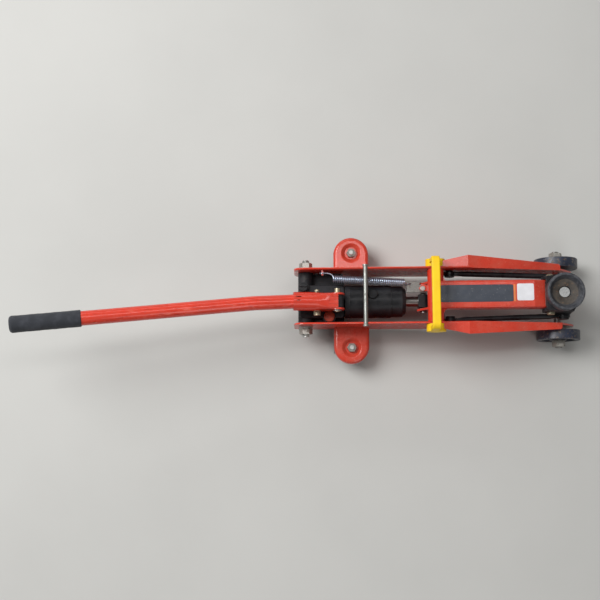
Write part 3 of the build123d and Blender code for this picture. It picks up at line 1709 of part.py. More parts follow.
hook_rear = Vector(x_at(tab_station), tab_hook_y, spring_rear_height)
hook_front = Vector(x_at(hook_front_station), anchor_hole_y, (anchor_top + anchor_bottom) / 2)
ahead, upward = Vector(1, 0, 0), Vector(0, 0, 1)
wire_nodes = [
    (hook_rear - upward * hook_radius, -ahead),
    (hook_rear + upward * hook_radius, ahead),
]
wire_nodes += [coil_node(half_turns) for half_turns in range(2 * spring_turns + 1)]
wire_nodes += [
    (hook_front + upward * hook_radius, ahead),
    (hook_front - upward * hook_radius, -ahead),
]
wire_start = wire_nodes[0][0] + ahead * hook_tail
wire_end = wire_nodes[-1][0] - ahead * hook_tail

with BuildPart() as return_spring:
    with BuildLine() as spring_path:
        Line(wire_start, wire_nodes[0][0])
        wire_arcs = []
        for (start, start_line), (end, end_line) in zip(wire_nodes, wire_nodes[1:]):
            wire_arcs += biarc(start, start_line, end, end_line)
        Line(wire_nodes[-1][0], wire_end)
    with BuildSketch(Plane(origin=wire_start, z_dir=-ahead)):
        Circle(spring_wire_radius)
    sweep(path=spring_path.line)
finish(return_spring, "return_spring")

# The wire's least gap to itself, between points of arcs that are over half a turn apart.
arc_points = [[tuple(arc.position_at(step / gap_steps)) for step in range(gap_steps)] for arc in wire_arcs]
least_distance = min(
    math.dist(point, other)
    for index, points in enumerate(arc_points)
    for others in arc_points[index + 3 :]
    for point in points
    for other in others
)
print(f"return_spring least gap to itself: {least_distance - 2 * spring_wire_radius:.2f} mm")
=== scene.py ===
"""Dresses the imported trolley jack: finishes, spring, threads, grip, stickers and a studio."""

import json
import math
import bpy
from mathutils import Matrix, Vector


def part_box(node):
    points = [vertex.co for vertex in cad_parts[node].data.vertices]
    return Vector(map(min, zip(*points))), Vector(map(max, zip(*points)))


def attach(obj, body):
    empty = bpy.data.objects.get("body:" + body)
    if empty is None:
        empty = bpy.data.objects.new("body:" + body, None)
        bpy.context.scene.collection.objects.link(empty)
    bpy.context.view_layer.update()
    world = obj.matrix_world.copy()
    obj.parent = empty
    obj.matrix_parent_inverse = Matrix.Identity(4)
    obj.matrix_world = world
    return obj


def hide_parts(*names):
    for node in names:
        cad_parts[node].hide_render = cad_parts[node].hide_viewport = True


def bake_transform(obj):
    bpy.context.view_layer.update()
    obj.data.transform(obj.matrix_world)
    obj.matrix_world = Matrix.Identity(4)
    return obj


bl_info = {
    "name": "Trolley Jack Dressing",
    "version": (1, 0, 0),
    "blender": (4, 5, 0),
    "location": "View3D > Sidebar > Jack",
    "description": "Finishes, fine pieces and studio for a small hydraulic trolley jack",
    "category": "Object",
}

import bpy
import numpy as np
from bpy.props import FloatProperty, FloatVectorProperty, IntProperty, PointerProperty
from mathutils import Matrix, Vector

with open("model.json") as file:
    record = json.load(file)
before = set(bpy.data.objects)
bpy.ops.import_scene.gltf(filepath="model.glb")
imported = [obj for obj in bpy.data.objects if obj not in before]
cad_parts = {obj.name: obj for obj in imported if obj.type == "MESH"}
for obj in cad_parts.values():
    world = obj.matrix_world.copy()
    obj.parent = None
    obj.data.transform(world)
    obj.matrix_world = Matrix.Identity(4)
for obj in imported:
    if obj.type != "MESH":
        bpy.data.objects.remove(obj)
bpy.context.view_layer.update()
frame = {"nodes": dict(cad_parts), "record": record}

MM = 0.001
# Station zero, the rear ends of the side plates, lies this far behind the middle of the jack.
MID_STATION = 19.0756


def place(points):
    """Points as station, left and height in millimetres become points of the frame in metres."""
    shifted = np.asarray(points, float) - np.array((MID_STATION, 0.0, 0.0))
    return shifted * MM


# Mesh helpers


def grid_faces(rows, sides):
    """Four-cornered faces between neighbouring rows of a grid that closes round its sides."""
    row = np.arange(rows - 1)[:, None] * sides
    here = np.arange(sides)[None, :]
    after = (here + 1) % sides
    corners = (row + here, row + after, row + sides + after, row + sides + here)
    return np.stack(np.broadcast_arrays(*corners), axis=-1).reshape(-1, 4)


def closed_grid(points):
    """Vertices and faces of a grid of rings, its first and last ring each closed by one face."""
    rows, sides, _ = points.shape
    first = np.arange(sides)[::-1]
    last = np.arange(sides) + (rows - 1) * sides
    faces = grid_faces(rows, sides).tolist() + [first.tolist(), last.tolist()]
    return points.reshape(-1, 3), faces


def unit(vectors):
    """Vectors scaled to length one."""
    vectors = np.asarray(vectors, float)
    return vectors / np.linalg.norm(vectors, axis=-1, keepdims=True)


def tube(path, guide, radius, sides):
    """Round tube: each ring is radius times (cos a, sin a) in the plane square to the path.

    The ring's first direction is the guide direction with its share along the path taken away.
    """
    path = np.asarray(path, float)
    along = unit(np.gradient(path, axis=0))
    across = unit(guide - np.sum(guide * along, axis=1, keepdims=True) * along)
    other = np.cross(along, across)
    angle = np.linspace(0, 2 * math.pi, sides, endpoint=False)[None, :, None]
    ring = np.cos(angle) * across[:, None, :] + np.sin(angle) * other[:, None, :]
    size = np.broadcast_to(np.asarray(radius, float), len(path))[:, None, None]
    return path[:, None, :] + size * ring


def turned(origin, direction, first_side, lengths, radii):
    """Surface round an axis: a ring of the given radius at each length along the direction.

    Radii may differ round each ring, which is how a thread's ridge winds round its bar.
    """
    direction, first_side = unit(direction), unit(first_side)
    second_side = np.cross(direction, first_side)
    sides = radii.shape[1]
    angle = np.linspace(0, 2 * math.pi, sides, endpoint=False)
    ring = np.cos(angle)[:, None] * first_side + np.sin(angle)[:, None] * second_side
    axis = np.asarray(origin, float) + np.asarray(lengths, float)[:, None] * direction
    return axis[:, None, :] + radii[:, :, None] * ring[None, :, :]


def add_piece(name, parts, material):
    """One smooth object from several vertex and face lists, with its place in its mesh."""
    vertices = np.concatenate([points for points, _ in parts])
    starts = np.cumsum([0] + [len(points) for points, _ in parts[:-1]])
    faces = [
        [index + int(start) for index in face]
        for start, (_, part) in zip(starts, parts)
        for face in part
    ]
    mesh = bpy.data.meshes.new(name)
    mesh.from_pydata(vertices.tolist(), [], faces)
    mesh.update()
    mesh.polygons.foreach_set("use_smooth", np.ones(len(mesh.polygons), bool))
    mesh.materials.append(material)
    piece = bpy.data.objects.new(name, mesh)
    bpy.context.scene.collection.objects.link(piece)
    return piece


def sharpen(piece, degrees=35.0):
    """Keep edges sharper than an angle crisp on a smooth piece."""
    piece.data.set_sharp_from_angle(angle=math.radians(degrees))


# Finishes

# Colours of dust, dirt and wear, with some painted sheen and shade, as linear values.
RED_DUST = (0.55, 0.20, 0.14)
# Pale scuff colour, which along the handle also paints highlight streaks.
RED_SCUFF_AND_SHEEN = (0.80, 0.24, 0.17)
PRIMER = (0.62, 0.33, 0.28)
EDGE_PIT = (0.16, 0.13, 0.12)
GREY_DUST = (0.16, 0.145, 0.125)
RUBBED_METAL = (0.16, 0.155, 0.15)
BROWN_GRIME = (0.10, 0.075, 0.05)
YELLOW_GRIME = (0.34, 0.22, 0.06)
RUBBED_YELLOW = (0.95, 0.78, 0.30)
BARE_STEEL = (0.24, 0.22, 0.20)
BROWN_RUST = (0.17, 0.10, 0.055)
RUBBED_FOAM = (0.042, 0.046, 0.057)
# Painted shade inside the foam's pores.
FOAM_PORE_SHADE = (0.006, 0.006, 0.006)
RUBBER_DUST = (0.20, 0.17, 0.15)
RUBBED_SADDLE = (0.17, 0.175, 0.19)
OLD_GREASE = (0.036, 0.030, 0.025)
PALE_GREASE = (0.080, 0.066, 0.053)
RUST_FLECK = (0.20, 0.11, 0.055)
RUBBED_FILM = (0.35, 0.33, 0.31)

BEVEL_SAMPLES = 6


def shade(colour, factor, lift=0.0):
    """Colour times a factor, plus a small lift."""
    return tuple(value * factor + lift for value in colour)


class Finish:
    """One node material under construction, with short calls for nodes that finishes share."""

    def __init__(self, name):
        self.material = bpy.data.materials.new(name)
        self.material.use_nodes = True
        self.tree = self.material.node_tree
        self.tree.nodes.clear()
        output = self.tree.nodes.new("ShaderNodeOutputMaterial")
        self.shader = self.tree.nodes.new("ShaderNodeBsdfPrincipled")
        self.tree.links.new(self.shader.outputs["BSDF"], output.inputs["Surface"])
        self.place = self.tree.nodes.new("ShaderNodeTexCoord").outputs["Object"]

    def add(self, kind, inputs=(), **settings):
        """Add a node, set its options and fill its sockets, by link or by value."""
        node = self.tree.nodes.new(kind)
        for option, value in settings.items():
            setattr(node, option, value)
        for socket, value in dict(inputs).items():
            self.put(node.inputs[socket], value)
        return node

    def put(self, socket, value):
        """Link a socket to an output, or set its value."""
        if isinstance(value, bpy.types.NodeSocket):
            self.tree.links.new(value, socket)
        else:
            socket.default_value = value

    def set(self, **sockets):
        """Fill the shader's sockets; underscores stand for blanks."""
        for name, value in sockets.items():
            self.put(self.shader.inputs[name.replace("_", " ")], value)

    def noise(self, scale, detail=4.0, stretch=(1, 1, 1), turn=(0, 0, 0), roughness=0.55):
        """Cloudy pattern on the object's own coordinates, stretched or turned by a mapping."""
        mapping = self.add(
            "ShaderNodeMapping", {"Vector": self.place, "Scale": stretch, "Rotation": turn}
        )
        moved = mapping.outputs["Vector"]
        node = self.add(
            "ShaderNodeTexNoise",
            {"Vector": moved, "Scale": scale, "Detail": detail, "Roughness": roughness},
        )
        return node.outputs["Fac"]

    def cells(self, scale):
        """Distance to the nearest of many scattered points."""
        node = self.add("ShaderNodeTexVoronoi", {"Vector": self.place, "Scale": scale})
        return node.outputs["Distance"]

    def span(self, value, low, high, to_low=0.0, to_high=1.0):
        """Value carried from one span to another, smoothly and held at both ends."""
        node = self.add(
            "ShaderNodeMapRange",
            {
                "Value": value,
                "From Min": low,
                "From Max": high,
                "To Min": to_low,
                "To Max": to_high,
            },
            interpolation_type="SMOOTHSTEP",
        )
        return node.outputs["Result"]

    def math(self, operation, first, second=0.0):
        """One arithmetic step."""
        node = self.add("ShaderNodeMath", operation=operation)
        self.put(node.inputs[0], first)
        self.put(node.inputs[1], second)
        return node.outputs["Value"]

    def blend(self, share, under, over):
        """Colour that goes from under to over by a share."""
        node = self.add("ShaderNodeMix", data_type="RGBA")
        self.put(node.inputs["Factor"], share)
        self.put(node.inputs["A"], (*under, 1.0) if isinstance(under, tuple) else under)
        self.put(node.inputs["B"], (*over, 1.0) if isinstance(over, tuple) else over)
        return node.outputs["Result"]

    def edges(self, radius):
        """Near one on edges and near zero on flat or gently curved faces."""
        bevel = self.add("ShaderNodeBevel", {"Radius": radius}, samples=BEVEL_SAMPLES)
        normal = self.add("ShaderNodeNewGeometry").outputs["Normal"]
        likeness = self.add("ShaderNodeVectorMath", operation="DOT_PRODUCT")
        self.put(likeness.inputs[0], bevel.outputs["Normal"])
        self.put(likeness.inputs[1], normal)
        return self.span(likeness.outputs["Value"], 0.995, 0.86)

    def facing_up(self):
        """One on faces that look up and zero on upright or lower ones."""
        normal = self.add("ShaderNodeNewGeometry").outputs["Normal"]
        parts = self.add("ShaderNodeSeparateXYZ", {"Vector": normal})
        return self.span(parts.outputs["Z"], 0.35, 0.95)

    def bump(self, height, distance, strength=1.0, rounding=0.0):
        """Fine relief on the shader's normal, over edges rounded by a radius, all in metres."""
        node = self.add(
            "ShaderNodeBump", {"Height": height, "Distance": distance, "Strength": strength}
        )
        if rounding:
            bevel = self.add("ShaderNodeBevel", {"Radius": rounding}, samples=BEVEL_SAMPLES)
            self.put(node.inputs["Normal"], bevel.outputs["Normal"])
        self.put(self.shader.inputs["Normal"], node.outputs["Normal"])

    def radius_about(self, centre):
        """Distance from an upright axis through a point, in metres."""
        moved = self.add("ShaderNodeVectorMath", operation="SUBTRACT")
        self.put(moved.inputs[0], self.place)
        self.put(moved.inputs[1], centre)
        flat = self.add("ShaderNodeVectorMath", operation="MULTIPLY")
        self.put(flat.inputs[0], moved.outputs["Vector"])
        self.put(flat.inputs[1], (1.0, 1.0, 0.0))
        length = self.add("ShaderNodeVectorMath", operation="LENGTH")
        self.put(length.inputs[0], flat.outputs["Vector"])
        return length.outputs["Value"]


def red_enamel(name, colour, dust, scuff_and_sheen, coat, streak=(1, 1, 1), turn=(0, 0, 0)):
    """Glossy red paint: dusty on top, scuffed, streaked and worn to primer along its edges.

    Stretched along the handle, the pale scuffs and dark streaks are also painted reflection lines.
    Dust and scuff_and_sheen are how much of it these cover at most, coat is the share of clear
    gloss.
    """
    f = Finish(name)
    clouds = f.noise(14.0, 5.0)
    tone = f.blend(f.span(clouds, 0.3, 0.7), colour, shade(colour, 0.80))
    film = f.math("MULTIPLY", f.facing_up(), f.span(f.noise(55.0, 6.0), 0.38, 0.72, 0.1, dust))
    tone = f.blend(film, tone, RED_DUST)
    # Pale scuffs; stretched along the handle they are painted highlight streaks as well.
    scuffs_and_sheen = f.span(f.noise(240.0, 3.0, streak, turn), 0.60, 0.72, 0.0, scuff_and_sheen)
    tone = f.blend(scuffs_and_sheen, tone, RED_SCUFF_AND_SHEEN)
    # Darker red streaks: along the handle painted dark reflection lines, elsewhere darker blotches.
    dark_sheen_streaks = f.span(f.noise(330.0, 2.0, streak, turn), 0.42, 0.32, 0.0, scuff_and_sheen)
    tone = f.blend(dark_sheen_streaks, tone, shade(colour, 0.45))
    worn = f.math("MULTIPLY", f.edges(0.0012), f.span(f.noise(150.0, 4.0), 0.47, 0.60))
    tone = f.blend(f.math("MULTIPLY", worn, 0.55), tone, PRIMER)
    pits = f.math("MULTIPLY", f.edges(0.0009), f.span(f.noise(420.0, 2.0), 0.60, 0.66))
    tone = f.blend(pits, tone, EDGE_PIT)
    gloss = f.span(f.noise(90.0, 5.0), 0.3, 0.75, 0.24, 0.46)
    f.set(Base_Color=tone, Roughness=gloss, Specular_IOR_Level=0.2)
    f.set(Coat_Weight=coat, Coat_Roughness=0.07)
    f.bump(f.noise(900.0, 2.0), 0.00006, 0.5, 0.0007)
    return f.material


def black_coat(name, colour, low, high, grain, depth, dusty):
    """Black paint over metal: grain from the casting or the brush, smudges, dust and rubbed edges.

    Low and high limit its roughness, grain and depth are the scale and height of its relief.
    """
    f = Finish(name)
    smudge = f.noise(38.0, 5.0)
    tone = f.blend(f.span(smudge, 0.35, 0.72), colour, shade(colour, 2.1, 0.004))
    dust = f.math("MULTIPLY", f.facing_up(), f.span(f.noise(120.0, 6.0), 0.52, 0.80, 0.0, dusty))
    tone = f.blend(dust, tone, GREY_DUST)
    rubbed = f.math("MULTIPLY", f.edges(0.001), f.span(f.noise(170.0, 4.0), 0.45, 0.62))
    tone = f.blend(f.math("MULTIPLY", rubbed, 0.5), tone, RUBBED_METAL)
    rough = f.span(smudge, 0.3, 0.75, low, high)
    f.set(Base_Color=tone, Roughness=rough, Specular_IOR_Level=0.22)
    f.bump(f.noise(grain, 3.0), depth, 0.6, 0.0008)
    return f.material


def plated(name, colour, low, high, grime, stretch=(1, 1, 1), share=1.0):
    """Plated or bare steel: soft cloudy sheen, fine drawn lines and brown grime in patches.

    Low and high are the limits of its roughness, share is how metallic the clean surface is.
    """
    f = Finish(name)
    lines = f.noise(700.0, 3.0, stretch)
    tone = f.blend(f.span(lines, 0.3, 0.7), colour, shade(colour, 0.78))
    dirt = f.span(f.noise(160.0, 5.0), 0.54, 0.74, 0.0, grime)
    tone = f.blend(dirt, tone, BROWN_GRIME)
    metal = f.math("SUBTRACT", share, f.math("MULTIPLY", dirt, 0.8 * share))
    rough = f.math("ADD", f.span(lines, 0.25, 0.75, low, high), f.math("MULTIPLY", dirt, 0.25))
    f.set(Base_Color=tone, Metallic=metal, Roughness=rough)
    f.bump(lines, 0.00004, 0.5)
    return f.material


def moulded_yellow(name, colour):
    """Yellow moulded plastic: sand texture, faint mottling, spots of grime and paler edges."""
    f = Finish(name)
    mottled = (colour[0] * 0.95, colour[1] * 0.90, colour[2])
    tone = f.blend(f.span(f.noise(45.0, 4.0), 0.35, 0.7), colour, mottled)
    dirt = f.span(f.noise(210.0, 5.0), 0.66, 0.80, 0.0, 0.22)
    tone = f.blend(dirt, tone, YELLOW_GRIME)
    rubbed = f.math("MULTIPLY", f.edges(0.0012), f.span(f.noise(130.0, 3.0), 0.5, 0.7, 0.0, 0.35))
    tone = f.blend(rubbed, tone, RUBBED_YELLOW)
    rough = f.span(f.noise(80.0, 3.0), 0.3, 0.7, 0.38, 0.52)
    f.set(Base_Color=tone, Roughness=rough, Specular_IOR_Level=0.3)
    f.bump(f.noise(1800.0, 2.0), 0.00005, 0.6, 0.0010)
    return f.material


def wheel_enamel(name, colour):
    """Dark blue-black enamel, chipped through to grey steel and rusty brown on treads and rims."""
    f = Finish(name)
    tone = f.blend(f.span(f.noise(60.0, 5.0), 0.3, 0.7), colour, shade(colour, 1.9, 0.004))
    chips = f.span(f.noise(190.0, 6.0, roughness=0.72), 0.55, 0.60)
    worn = f.span(f.noise(120.0, 5.0, roughness=0.7), 0.42, 0.55)
    rims = f.math("MULTIPLY", f.edges(0.0016), worn)
    bare = f.math("MAXIMUM", f.math("MULTIPLY", chips, 0.7), rims)
    rust = f.blend(f.span(f.noise(300.0, 3.0), 0.4, 0.62), BARE_STEEL, BROWN_RUST)
    tone = f.blend(bare, tone, rust)
    metal = f.math("MULTIPLY", bare, 0.35)
    f.set(Base_Color=tone, Metallic=metal, Roughness=f.span(bare, 0.0, 1.0, 0.34, 0.6))
    f.bump(f.math("SUBTRACT", f.noise(350.0, 4.0), bare), 0.00018, 0.6)
    return f.material


def foam(name, colour):
    """Closed-cell foam: matt black with fine pores darkened by painted shade, and paler rubbed
    patches.
    """
    f = Finish(name)
    pores = f.cells(900.0)
    tone = f.blend(f.span(f.noise(70.0, 5.0), 0.4, 0.75), colour, RUBBED_FOAM)
    # Painted shade darkens the pores.
    tone = f.blend(f.span(pores, 0.25, 0.02, 0.0, 0.6), tone, FOAM_PORE_SHADE)
    f.set(Base_Color=tone, Roughness=0.85, Sheen_Weight=0.15, Sheen_Roughness=0.5)
    dents = f.math("MULTIPLY", f.noise(260.0, 4.0), 0.6)
    f.bump(f.math("ADD", pores, dents), 0.00030, 0.7)
    return f.material


def moulded_dark(name, colour, low, high, dusty):
    """Dark rubber or plastic with faint mottling and dust; low and high limit its roughness."""
    f = Finish(name)
    tone = f.blend(f.span(f.noise(120.0, 4.0), 0.35, 0.7), colour, shade(colour, 1.5, 0.003))
    dust = f.math("MULTIPLY", f.facing_up(), f.span(f.noise(300.0, 4.0), 0.55, 0.75, 0.0, dusty))
    tone = f.blend(dust, tone, RUBBER_DUST)
    rough = f.span(f.noise(90.0, 3.0), 0.3, 0.7, low, high)
    f.set(Base_Color=tone, Roughness=rough, Specular_IOR_Level=0.25)
    f.bump(f.noise(1200.0, 2.0), 0.00005, 0.5)
    return f.material


def saddle_casting(name, colour, centre, cup_radius):
    """Black cast saddle: rubbed grey rim, and a cup that is dull brown with old grease and rust."""
    f = Finish(name)
    radius = f.radius_about(centre)
    tone = f.blend(f.span(f.noise(70.0, 5.0), 0.35, 0.7), colour, shade(colour, 1.8, 0.004))
    patches = f.span(f.noise(210.0, 5.0, roughness=0.65), 0.48, 0.62)
    wear = f.math("ADD", f.math("MULTIPLY", f.edges(0.0018), 0.5), 0.28)
    rubbed = f.math("MULTIPLY", wear, patches)
    tone = f.blend(rubbed, tone, RUBBED_SADDLE)
    within = f.span(radius, cup_radius + 0.0006, cup_radius - 0.0012)
    cup = f.math("MULTIPLY", within, f.facing_up())
    grease = f.blend(f.span(f.noise(95.0, 6.0), 0.35, 0.68), OLD_GREASE, PALE_GREASE)
    tone = f.blend(cup, tone, grease)
    flecks = f.math("MULTIPLY", cup, f.span(f.noise(260.0, 4.0), 0.60, 0.68))
    tone = f.blend(f.math("MULTIPLY", flecks, 0.6), tone, RUST_FLECK)
    f.set(Base_Color=tone, Roughness=f.span(f.noise(80.0, 4.0), 0.3, 0.7, 0.42, 0.66))
    f.bump(f.noise(620.0, 4.0), 0.00012, 0.7, 0.0010)
    return f.material


def printed_film(name, colour, low, high, scuff):
    """Plain film: even colour with faint fading, rubbed spots and tiny creases.

    Low and high are the limits of its roughness, scuff is the most that rubbed spots cover.
    """
    f = Finish(name)
    tone = f.blend(f.span(f.noise(50.0, 5.0), 0.35, 0.7), colour, shade(colour, 0.86))
    rubbed = f.span(f.noise(330.0, 4.0), 0.62, 0.74, 0.0, scuff)
    tone = f.blend(rubbed, tone, RUBBED_FILM)
    f.set(Base_Color=tone, Roughness=f.span(f.noise(110.0, 3.0), 0.3, 0.7, low, high))
    f.bump(f.noise(500.0, 3.0), 0.00003, 0.5)
    return f.material


# Sizes and colours that a user would change


class JackColours(bpy.types.PropertyGroup):
    """Base colours of the jack's finishes, as linear values."""

    red: FloatVectorProperty(
        name="Red enamel",
        description="Paint of chassis and arm",
        subtype="COLOR",
        default=(0.68, 0.040, 0.018),
    )
    handle_red: FloatVectorProperty(
        name="Handle red",
        description="Paint of handle and yoke",
        subtype="COLOR",
        default=(0.78, 0.044, 0.020),
    )
    black: FloatVectorProperty(
        name="Black",
        description="Castings and black paint",
        subtype="COLOR",
        default=(0.014, 0.014, 0.016),
    )
    yellow: FloatVectorProperty(
        name="Yellow plastic",
        description="Carry handle",
        subtype="COLOR",
        default=(0.98, 0.65, 0.014),
    )
    wheel: FloatVectorProperty(
        name="Wheel enamel",
        description="Front wheels and casters",
        subtype="COLOR",
        default=(0.016, 0.020, 0.034),
    )
    label: FloatVectorProperty(
        name="Blank label",
        description="Dark film on the arm",
        subtype="COLOR",
        default=(0.036, 0.044, 0.062),
    )


class JackSpring(bpy.types.PropertyGroup):
    """Return spring."""

    turns: IntProperty(name="Turns", description="Number of coil turns", default=36, min=8)
    coil: FloatProperty(
        name="Coil radius",
        description="Radius at the wire's middle",
        subtype="DISTANCE",
        default=0.0052,
        min=0.002,
    )
    wire: FloatProperty(
        name="Wire radius",
        description="Radius of the wire",
        subtype="DISTANCE",
        default=0.001,
        min=0.0003,
    )


class JackDetail(bpy.types.PropertyGroup):
    """Threads and stickers."""

    coarse_pitch: FloatProperty(
        name="Large thread pitch",
        description="Pitch on studs and axle",
        subtype="DISTANCE",
        default=0.00175,
    )
    fine_pitch: FloatProperty(
        name="Small thread pitch",
        description="Pitch on caster bolts",
        subtype="DISTANCE",
        default=0.00125,
    )
    film: FloatProperty(
        name="Film thickness",
        description="Thickness of label and sticker",
        subtype="DISTANCE",
        default=0.0002,
    )


class JackStage(bpy.types.PropertyGroup):
    """Floor, light and camera."""

    floor: FloatVectorProperty(
        name="Floor", description="Floor colour", subtype="COLOR", default=(0.56, 0.557, 0.535)
    )
    world: FloatProperty(
        name="Sky strength", description="Even light from all sides", default=0.15, min=0.0
    )
    lamp: FloatProperty(
        name="Lamp power",
        description="Power that each lamp has a share of",
        subtype="POWER",
        default=83.0,
        min=0.0,
    )
    lens: FloatProperty(
        name="Lens",
        description="Focal length on a 36 mm sensor",
        subtype="DISTANCE_CAMERA",
        default=59.14,
    )


# Operators


class JACK_OT_finishes(bpy.types.Operator):
    """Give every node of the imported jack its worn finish."""

    bl_idname = "jack.finishes"
    bl_label = "Finishes"

    def execute(self, context):
        c = context.scene.jack_colours
        black = tuple(c.black)
        along_handle, handle_turn = (0.03, 1, 1), (0, 0, 0.11)
        along_ram, along_rod = (0.05, 1, 1), (1, 0.05, 1)
        cup_radius = 0.0218
        saddle_low, saddle_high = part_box("saddle")
        saddle_centre = tuple((a + b) / 2 for a, b in zip(saddle_low, saddle_high))
        handle_red = tuple(c.handle_red)
        chassis = red_enamel("worn_red_enamel", tuple(c.red), dust=0.26, scuff_and_sheen=0.25, coat=0.5)
        handle = red_enamel(
            "handle_red_enamel",
            handle_red,
            dust=0.04,
            scuff_and_sheen=0.5,
            coat=0.8,
            streak=along_handle,
            turn=handle_turn,
        )
        socket = red_enamel(
            "socket_red_enamel",
            shade(handle_red, 0.86),
            dust=0.02,
            scuff_and_sheen=0.15,
            coat=0.7,
            streak=along_handle,
        )
        casting = black_coat(
            "black_casting", black, low=0.48, high=0.72, grain=520.0, depth=0.00016, dusty=0.16
        )
        enamel = black_coat(
            "black_enamel",
            shade(black, 0.6),
            low=0.24,
            high=0.46,
            grain=1400.0,
            depth=0.00005,
            dusty=0.05,
        )
        worn_nut = plated("worn_nut_zinc", (0.45, 0.43, 0.39), 0.34, 0.52, 0.9, share=0.8)
        finishes = {
            "red_paint": chassis,
            "black_cast": casting,
            "black_paint": enamel,
            "zinc": plated("dull_zinc", (0.56, 0.555, 0.53), 0.34, 0.52, 0.75, share=0.8),
            "steel": plated("oily_steel", (0.30, 0.29, 0.28), 0.26, 0.46, 0.6),
            "yellow_zinc": plated("yellow_zinc", (0.46, 0.41, 0.29), 0.38, 0.56, 0.5, share=0.8),
            "chrome_ram": plated("oiled_chrome", (0.25, 0.235, 0.225), 0.24, 0.38, 0.6, along_ram),
            "yellow_plastic": moulded_yellow("moulded_yellow", tuple(c.yellow)),
            "wheel_paint": wheel_enamel("chipped_wheel_enamel", tuple(c.wheel)),
            "foam_grip": foam("grip_foam", (0.021, 0.024, 0.031)),
            "seal_rubber": moulded_dark("seal_rubber", (0.02, 0.02, 0.02), 0.5, 0.7, 0.2),
            "filler_rubber": moulded_dark(
                "filler_rubber", (0.006, 0.006, 0.007), 0.5, 0.66, 0.04
            ),
            "dark_red_plastic": moulded_dark(
                "dark_red_cap", (0.26, 0.030, 0.012), 0.4, 0.55, 0.05
            ),
        }
        special = {
            "handle_tube": handle,
            "handle_socket": socket,
            "saddle": saddle_casting(
                "saddle_casting", (0.029, 0.031, 0.037), saddle_centre, cup_radius
            ),
            "saddle_pin": plated("pale_pin", (0.62, 0.63, 0.62), 0.5, 0.66, 0.25),
            "spring_anchor": plated(
                "anchor_zinc", (0.26, 0.255, 0.24), 0.42, 0.58, 0.75, share=0.7
            ),
            "stud_nuts": worn_nut,
            "caster_nuts": plated(
                "caster_nut_zinc", (0.28, 0.262, 0.235), 0.36, 0.54, 0.8, share=0.8
            ),
            "axle_nuts": worn_nut,
            "tie_rod": plated(
                "tie_rod_zinc", (0.33, 0.34, 0.318), 0.34, 0.5, 0.35, along_rod, 0.8
            ),
        }
        for subpart in frame["record"]["subparts"]:
            node = frame["nodes"][subpart["node"]]
            material = special.get(subpart["node"], finishes[subpart["material_slot"]])
            if not node.material_slots:
                raise RuntimeError(f"{node.name} has no material slot")
            for slot in node.material_slots:
                slot.material = material
        return {"FINISHED"}


def spring_path(turns, coil):
    """Middle line of the spring's wire and a guide direction for its rings, in millimetres.

    A tail, a half circle round the plate's tab, a cubic curve with set end directions, a helix of
    radius times (up cos a + right sin a) that moves along its axis, a second cubic curve, a half
    circle through the anchor plate and a tail.
    """
    tab = np.array((44.4, 36.0, 86.0))
    hole = np.array((176.8, 19.5, 80.5))
    rear = np.array((61.4, 27.2, 86.0))
    front = np.array((171.0, 21.59, 84.0))
    hook, tail = 3.6, 3.0
    steps_per_turn, tail_points, hook_points, bridge_points = 24, 4, 17, 22
    axis = unit(front - rear)
    up = unit(np.array((0.0, 0.0, 1.0)) - axis * axis[2])
    right = np.cross(axis, up)
    left = np.array((0.0, 1.0, 0.0))
    ahead = np.array((1.0, 0.0, 0.0))
    high = np.array((0.0, 0.0, 1.0))

    turn = np.linspace(0, 2 * math.pi * turns, steps_per_turn * turns + 1)[:, None]
    helix = rear + axis * (turn / turn[-1]) * np.linalg.norm(front - rear)
    helix = helix + coil * (up * np.cos(turn) + right * np.sin(turn))

    def bridge(start, start_way, end, end_way):
        """Cubic curve with given ends and end directions, without its two end points."""
        fullness = 1.25
        t = np.linspace(0, 1, bridge_points + 2)[1:-1, None]
        reach = fullness * np.linalg.norm(end - start)
        return (
            start * (2 * t**3 - 3 * t**2 + 1)
            + start_way * reach * (t**3 - 2 * t**2 + t)
            + end * (3 * t**2 - 2 * t**3)
            + end_way * reach * (t**3 - t**2)
        )

    half = np.linspace(0, math.pi, hook_points)[:, None]
    rear_hook = tab + hook * (-ahead * np.sin(half) - high * np.cos(half))
    front_hook = hole + hook * (ahead * np.sin(half) + high * np.cos(half))
    short = np.linspace(1, 0, tail_points)[:-1, None]
    rear_tail = rear_hook[0] + ahead * tail * short
    front_tail = front_hook[-1] - ahead * tail * short[::-1]
    rear_bridge = bridge(rear_hook[-1], ahead, helix[0], right)
    front_bridge = bridge(helix[-1], right, front_hook[0], ahead)
    path = np.concatenate(
        (rear_tail, rear_hook, rear_bridge, helix, front_bridge, front_hook, front_tail)
    )

    # The guide is the left direction on the hooks and the coil's axis on the helix.
    share = np.concatenate(
        (
            np.zeros(len(rear_tail) + len(rear_hook)),
            np.linspace(0, 1, len(rear_bridge)),
            np.ones(len(helix)),
            np.linspace(1, 0, len(front_bridge)),
            np.zeros(len(front_hook) + len(front_tail)),
        )
    )[:, None]
    return path, unit(left * (1 - share) + axis * share)


